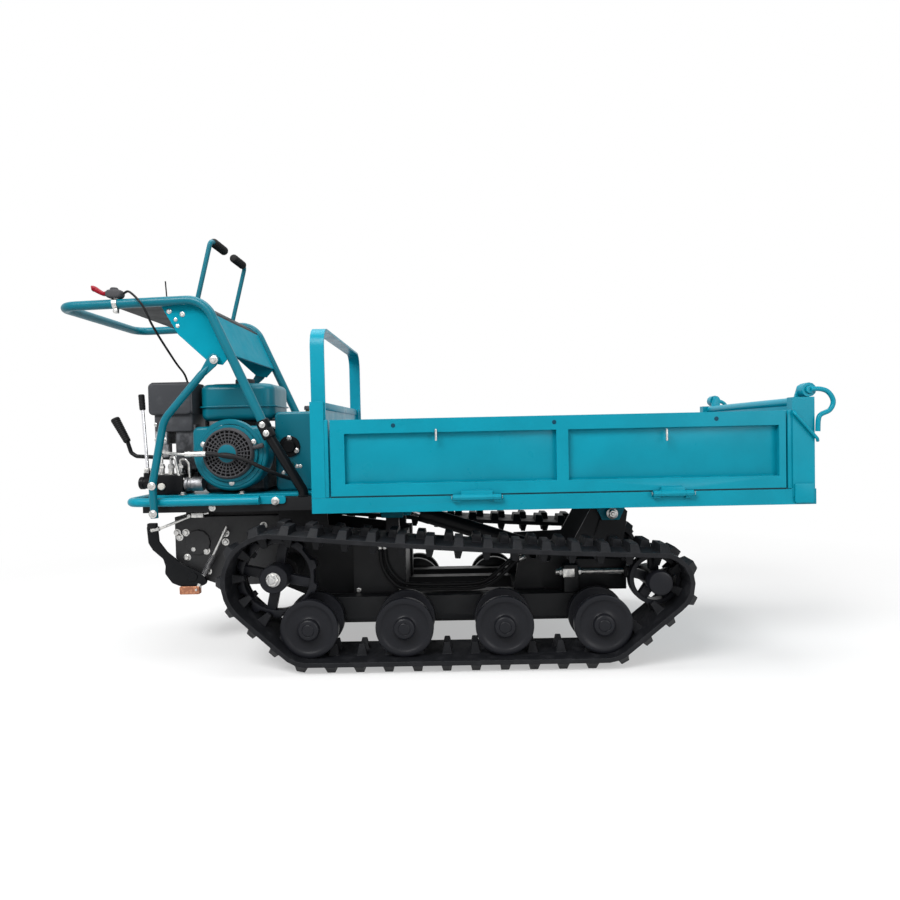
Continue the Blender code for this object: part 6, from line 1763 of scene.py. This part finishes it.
@dataclass
class Hydraulics:
    """Control valve with its pump and lever, hoses, throttle cable, gear lever and lifting cylinder."""

    deck_top: float = 0.444
    valve_x: tuple = (-0.79, -0.7)
    valve_y: tuple = (-0.175, -0.085)
    valve_top: float = 0.5
    spool: Point = (-0.817, -0.13, 0.476)
    port_xs: tuple = (-0.772, -0.745, -0.718)
    port_y: float = -0.14
    port_top: float = 0.529
    hose_radius: float = 0.0055
    base_pin: Point = (0.3, 0.0, 0.245)
    eye_pin: Point = (-0.1, 0.0, 0.375)
    by_cover: float = 0.1608
    by_plate: float = 0.1258
    pipe_end: float = -0.664
    cover_end: float = -0.535
    pressure_route: tuple = mm("-772 -140 530.3, -772 -140 558, -764 -164 570, -735 -208 564, -680 -238 558, "
                               "-600 -240 557, -520 -240 545, -470 -225 520, -430 -190 495, -400 -150 480, "
                               "-395 -116 478")
    cable_route: tuple = mm("-818.2 -236 990, -795 -250 990, -762 -253 955, -745 -235 905, -738 -190 865, "
                            "-736 -105 815, -742 -30 788, -743.5 0 750, -743.5 0 700, -743.5 0 640, -743.5 0 590.3")
    valve_end: tuple = mm("16 0, 18 2, 18 30, 16.5 34, 16.5 44, 18 46, 18 56, 16 58")
    pump: tuple = mm("18 0, 20 2, 20 13, 17 15, 17 23, 20 25, 20 52, 18 55")
    crimp_rows: tuple = ((0.9, 0.0), (1.16, 0.06), (1.22, 0.3), (1.14, 0.4), (1.22, 0.5), (1.14, 0.6),
                         (1.22, 0.7), (1.18, 0.94), (1.0, 1.0))
    pipe_sleeve: tuple = mm("7.8 -1, 8.2 1, 8.2 12, 7.4 13.5, 7.4 16, 8 18, 8 52, 7.2 55")
    barrel: tuple = mm("14.5 40, 23 36, 25 38, 25 48, 24 50, 24 338, 25 340, 25 370, 23.5 372, 13.5 372, 13.5 60, "
                       "0 59, 0 40")
    eye_half: tuple = ((0.019, -0.0145), (0.02, -0.0135))

    def valve(self) -> None:
        """Ported block with its fittings, spool, clevis and pump."""
        (x0, x1), (y0, y1), top = self.valve_x, self.valve_y, self.valve_top
        x, y, z = self.spool
        show("valve_body", SATIN, block((x0, y0, self.deck_top + GAP), (x1, y1, top), 0.005, 0.003),
             drum(self.valve_end, (-0.78, y, z), BACK, 36), rod(self.spool, (x, y, 0.505), 0.011, 24),
             solid="valve_block")
        show("pump_body", ALLOY, drum(self.pump, (-0.705, -0.15, 0.472), AHEAD))
        fittings = []
        for port in self.port_xs:
            fittings += [bolts(0.015, [(port, self.port_y, top - 0.0005)]),
                         rod((port, self.port_y, top), (port, self.port_y, self.port_top), 0.0075, 20),
                         rod((port, self.port_y, 0.5165), (port, self.port_y, 0.525), 0.0092, 6)]
        show("valve_fittings", ZINC, *fittings, rod((-0.836, y, z), (-0.8379, y, z), 0.013, 6, 0.0005),
             rod((x, -0.1415, 0.512), (x, -0.1185, 0.512), 0.0048, 16),
             *(block((-0.8235, cheek, 0.501), (-0.8105, cheek + 0.003, 0.518), 0.003, 0.0008, Plane.XZ)
               for cheek in (-0.1395, -0.1235)))
        knob = mm("0 0, 8.5 0, 9.8 1.5, 9.8 5, 8 6.8, 0 7")
        show("valve_knob", CREAM, turned(knob, (-0.758, y0, 0.468), NEAR, 28))
        pipes = (((-0.745, self.port_y, self.port_top), (-0.745, self.port_y, 0.548), (-0.722, -0.172, 0.552),
                  (-0.712, -0.172, 0.5), (-0.7, -0.165, 0.486)),
                 ((-0.718, self.port_y, self.port_top), (-0.718, self.port_y, 0.541), (-0.7, -0.15, 0.5415),
                  (-0.69, -0.15, 0.53), (-0.69, -0.15, 0.49)))
        show("valve_pipes", ZINC, *(tube(pipe, 0.0042, bend, 14) for pipe, bend in zip(pipes, (0.012, 0.01))))

    def levers(self) -> None:
        """Valve lever with its grip, and the cranked gear lever."""
        top, foot = np.array((-0.828, -0.13, 0.727)), np.array((-0.817, -0.13, 0.5183))
        lower = top + (foot - top) * 0.2
        show("valve_lever_rod", CHROME, rod(foot, lower - (lower - foot) * 0.001, 0.0045, 20), solid="valve_lever")
        show("valve_lever_grip", GRIP, grip(lower + (foot - lower) * 0.02, top, (0.0085, 0.0088), 9, 0.0006))
        route = [(x, 0.0, z) for x, z in ((-0.778, self.deck_top + GAP), (-0.778, 0.52), (-0.79, 0.541),
                                          (-0.864, 0.546), (-0.908, 0.549), (-0.924, 0.56), (-0.936, 0.6))]
        show("gear_lever_rod", SATIN, tube(route, 0.006, 0.016, 20), solid="gear_lever")
        show("gear_lever_grip", GRIP, grip((-0.933, 0.0, 0.592), (-0.971, 0.0, 0.665), (0.0108, 0.0138), 12))

    def hose(self, name: str, line: np.ndarray, crimp: float) -> None:
        """Hose along its curve, with a pressed sleeve and a nut at each end.

        Args:
            name: Solid of the frame that it stands for.
            line: Points of the curve, close together.
            crimp: Length of each sleeve.
        """
        show(f"{name}_line", HOSE, swept(line, ring_profile(self.hose_radius, 18)), solid=name)
        skins = []
        for start, after in ((line[0], line[3]), (line[-1], line[-4])):
            for rows, length, steps in ((self.crimp_rows, crimp, 28), (((1.38, 0.0), (1.38, 1.0)), crimp * 0.32, 6)):
                skins.append(drum(np.multiply(rows, (self.hose_radius, length)), start, after - start, steps))
        show(f"{name}_sleeves", ZINC, *skins)

    def pressure_line(self) -> None:
        """Steel pipe from the valve's port, then the pressure hose in its cover."""
        line = smooth(self.pressure_route, CORD_STEPS)
        cut, end = (int(np.argmax(line[:, 0] > x)) for x in (self.pipe_end, self.cover_end))
        self.hose("pressure_hose", line[cut:], 0.026)
        show("pressure_pipe", ZINC, swept(line[:cut + 1], ring_profile(0.0044, 16)),
             drum(self.pipe_sleeve, line[cut], line[cut + 5] - line[cut], 28))
        cover = line[cut + 10:end + 1]
        size = np.concatenate(((0.7, 0.95), np.ones(len(cover) - 4), (0.95, 0.7)))
        show("pressure_hose_cover", HOSE, swept(cover, ring_profile(0.0082, 20), size))

    def cords(self) -> None:
        """Both cylinder hoses, which lie beside the side cover and then the plate, and the throttle cable."""
        cover, plate = self.by_cover, self.by_plate
        ys = [cover] * 4 + [plate + out for out in (0.0245, 0.022, 0.014, 0.006, 0.002, 0.0)]
        routes = (mm("-147 300, -140 240, -112 196, -75 181.5, 25 176.5, 108 178, 146 190, 178 214, 203.5 236, "
                     "236 260"),
                  mm("-160 300, -153 232, -122 184, -81 168.5, 25 163.5, 111 164.5, 155.5 179, 190 206, 216 229, "
                     "247.5 247.5"))
        for number, route in enumerate(routes, 1):
            line = smooth([(x, -y, z) for (x, z), y in zip(route, ys)], CORD_STEPS)
            self.hose(f"cylinder_hose_{number}", line, 0.02)
        line = smooth(self.cable_route, CORD_STEPS)
        show("throttle_cable_line", HOSE, swept(line, ring_profile(0.003, 12)), solid="throttle_cable")

    def cylinder(self) -> None:
        """Lifting cylinder: barrel with its gland and foot eye, and the bright rod with its eye."""
        foot, eye = np.array(self.base_pin), np.array(self.eye_pin)
        way, length = unit(eye - foot), float(np.linalg.norm(eye - foot))
        ring = mirrored(((0.0107, -0.0145), *self.eye_half))
        show("lift_barrel", SATIN, turned(self.barrel, foot, way, 48), turned(ring, foot, ACROSS, 40, True),
             rod(foot + way * 0.015, foot + way * 0.043, 0.013, 24), body=Body.BARREL, solid="cylinder_barrel")
        piston = ((0.0118, 0.0), (0.0125, 0.001), (0.0125, length - 0.082), (0.0118, length - 0.081))
        show("lift_rod", CHROME, drum(piston, foot + way * 0.07, way), drum(mirrored(self.eye_half), eye, ACROSS),
             rod(eye - (0.0, 0.0155, 0.0), eye + (0.0, 0.0155, 0.0), 0.01, 28), body=Body.ROD, solid="cylinder_rod")

    def build(self) -> None:
        """All of the hydraulics."""
        for build in (self.valve, self.levers, self.pressure_line, self.cords, self.cylinder):
            build()


# Load bed


@dataclass
class LoadBed:
    """Bed frame, headboard with its hoop, drop sides and tailgate, with their welds and fasteners."""

    half: float = 0.33
    pivot: Point = (0.49, 0.366)
    gate_x: tuple = (-0.26, 0.889)
    gate_top: float = 0.639
    rail_top: float = 0.441
    hinge_xs: tuple = ((0.069, 0.15), (0.572, 0.633))
    hinge_y: float = 0.339
    hinge_z: float = 0.437
    rib_x: tuple = (0.313, 0.343)
    gate_depth: float = 0.025
    recess: float = 0.014
    plug_xs: tuple = (-0.099, 0.308, 0.7155)
    plug_z: float = 0.622
    plug: tuple = mm("5.5 -2, 5.5 0.4, 4.5 1.2")
    pin_spots: tuple = ((0.009, 0.611), (0.59, 0.599))
    pin_length: float = 0.03
    post_x: tuple = (0.905, 0.96)
    post_inner: float = 0.304
    head_x: float = -0.275
    tail_pin: Point = (0.947, 0.0, 0.69)
    tail_top: float = 0.66
    hook_y: float = 0.339
    tail_ear: tuple = mm("922 650, 953 656, 961 690, 953 704, 939 704")
    tail_hook: tuple = mm("0 0, 20 1, 40 -5, 52.5 -20, 55.3 -36, 46 -53, 25 -63, 18.5 -76, 17 -105")

    def gate(self, word: str, side: float, body: Body) -> None:
        """One side gate: its solid, recessed fields, welds, plugs and pins, and its zinc hinge pins.

        Args:
            word: Name of the side.
            side: -1 on the right and 1 on the left.
            body: Body of the gate.
        """
        recast(f"side_gate_{word}", GATE_TEAL, 0.0014, body)
        y, z, way = side * self.hinge_y, self.hinge_z, (0.0, side, 0.0)
        ends = [end for low, high in self.hinge_xs for end in ((low - 0.0225, -1.0), (high + 0.0225, 1.0))]
        show(f"hinge_pins_{word}", ZINC,
             *(rod((x, y, z), (x + along * 0.0012, y, z), 0.0055, 20, 0.0004) for x, along in ends), body=Body.BED)
        base = self.rail_top + GAP
        low, high = base + 0.034, self.gate_top - 0.036
        back, y = side * (self.half - self.gate_depth + 0.0015), side * (self.half - self.recess)
        beads, fields = [], []
        for left, right in ((self.gate_x[0] + 0.036, self.rib_x[0]), (self.rib_x[1], self.gate_x[1] - 0.017)):
            fields.append(block((left - 0.001, back, low - 0.001), (right + 0.001, y, high + 0.001), 0.001, 0.0006,
                                Plane.XZ, 2))
            beads += [bead(((x - 0.022, y, z), (x + 0.022, y, z)), 0.0016)
                      for z in (low, high) for x in np.linspace(left + 0.03, right - 0.03, 5)]
        face, weld_z = side * (self.half + 0.0005), base + 0.0125
        beads += [bead(((start + 0.004, face, weld_z), (end - 0.004, face, weld_z)), 0.0018)
                  for start, end in self.hinge_xs]
        show(f"gate_welds_{word}", TEAL, *beads, body=body)
        show(f"gate_fields_{word}", TEAL, *fields, body=body)
        plugs = [(x, side * self.half, self.plug_z) for x in self.plug_xs]
        show(f"gate_plugs_{word}", PLUG, copies(drum(self.plug, (0, 0, 0), UP, 20), plugs, way), body=body)
        y = side * (self.half + 0.0031)
        show(f"gate_pins_{word}", ZINC,
             *(rod((x, y, top), (x, y, top - self.pin_length), 0.003, 14) for x, top in self.pin_spots), body=body)

    def latches(self) -> None:
        """Slanted catch rods at the rear posts, strips and blocks beside the posts, and the headboard's band."""
        skins = []
        for _, side in SIDES:
            y = side * (self.half + 0.0095)
            skins.append(tube(((0.905, y - side * 0.005, 0.636), (0.91, y, 0.628), (0.9625, y, 0.567),
                               (0.9655, y - side * 0.004, 0.561)), 0.004, 0.008, 14))
            skins += [block((left, side * self.post_inner, self.rail_top + 0.001), (right, side * 0.3285, 0.64),
                            0.001, 0.001, Plane.XZ)
                      for left, right in ((0.8945, 0.907), (self.head_x - 0.002, -0.2655))]
            skins.append(block((0.908, side * (self.half + 0.0025), 0.406), (0.956, side * (self.half + 0.0075), 0.455),
                               0.005, 0.0015, Plane.XZ))
        show("post_latches", TEAL, *skins, body=Body.BED)
        panel = self.head_x - 0.0085
        band = block((panel - 0.001, -0.2945, 0.6675), (panel + 0.0028, 0.2945, 0.6865), 0.0015, 0.0006, Plane.XZ, 2)
        show("headboard_band", TEAL, band, body=Body.BED)

    def tailgate(self) -> None:
        """Rear gate under its top tube, with the ears, pins and smooth catch hooks of both sides."""
        top, pin = self.tail_top, np.array(self.tail_pin)
        skins = [block((0.921, -0.298, 0.4455), (0.939, 0.298, top), 0.002, 0.0015, Plane.XZ),
                 rod((0.93, -0.297, top), (0.93, 0.297, top), 0.0125, 28, 0.0015)]
        ear = eased(self.tail_ear, (0.002, 0.004, 0.01, 0.006, 0.006), True, 4)
        for _, side in SIDES:
            route = smooth([pin + (x, side * self.hook_y, z) for x, z in self.tail_hook], 8)
            skins += [slab(ear, side * 0.286, side * 0.2965, 0.001),
                      rod(pin + (0, side * 0.29, 0), pin + (0, side * self.hook_y, 0), 0.01, 28, 0.0015),
                      swept(route, ring_profile(0.006, 18))]
        show("tailgate_panel", TEAL, *skins, body=Body.TAILGATE, solid="tailgate")

    def welds(self) -> None:
        """Beads of the pivot ears and the posts."""
        beads = []
        for _, side in SIDES:
            lines = [((0.44, 0.1335, 0.403), (0.54, 0.1335, 0.403), 0.0026)]
            lines += [((x, self.post_inner, 0.4415), (x, self.half, 0.4415), 0.0022) for x in self.post_x]
            lines.append(((0.907, 0.3322, 0.442), (0.958, 0.3322, 0.442), 0.0022))
            beads += [bead(np.multiply((start, end), (1.0, side, 1.0)), radius) for start, end, radius in lines]
        show("bed_welds", TEAL, *beads, body=Body.BED)

    def build(self) -> None:
        """All of the bed."""
        for node in ("bed_frame", "headboard"):
            recast(node, TEAL, 0.0014, Body.BED)
        self.tailgate()
        for (word, side), body in zip(SIDES, (Body.GATE_RIGHT, Body.GATE_LEFT)):
            self.gate(word, side, body)
        self.latches()
        show("pivot_bolts", ZINC, *flank_bolts((0.019, 0.1502, (self.pivot,), 11, 0.004)))
        self.welds()


def main() -> None:
    """Build the studio and every sub-assembly."""
    logging.basicConfig(level=logging.INFO, format="%(name)s: %(message)s")
    Studio().build()
    for assembly in (Undercarriage(), Chassis(), OperatorStation(), EngineBay(), Hydraulics(), LoadBed()):
        LOG.info("building %s", type(assembly).__name__)
        assembly.build()


if __name__ == "__main__":
    main()
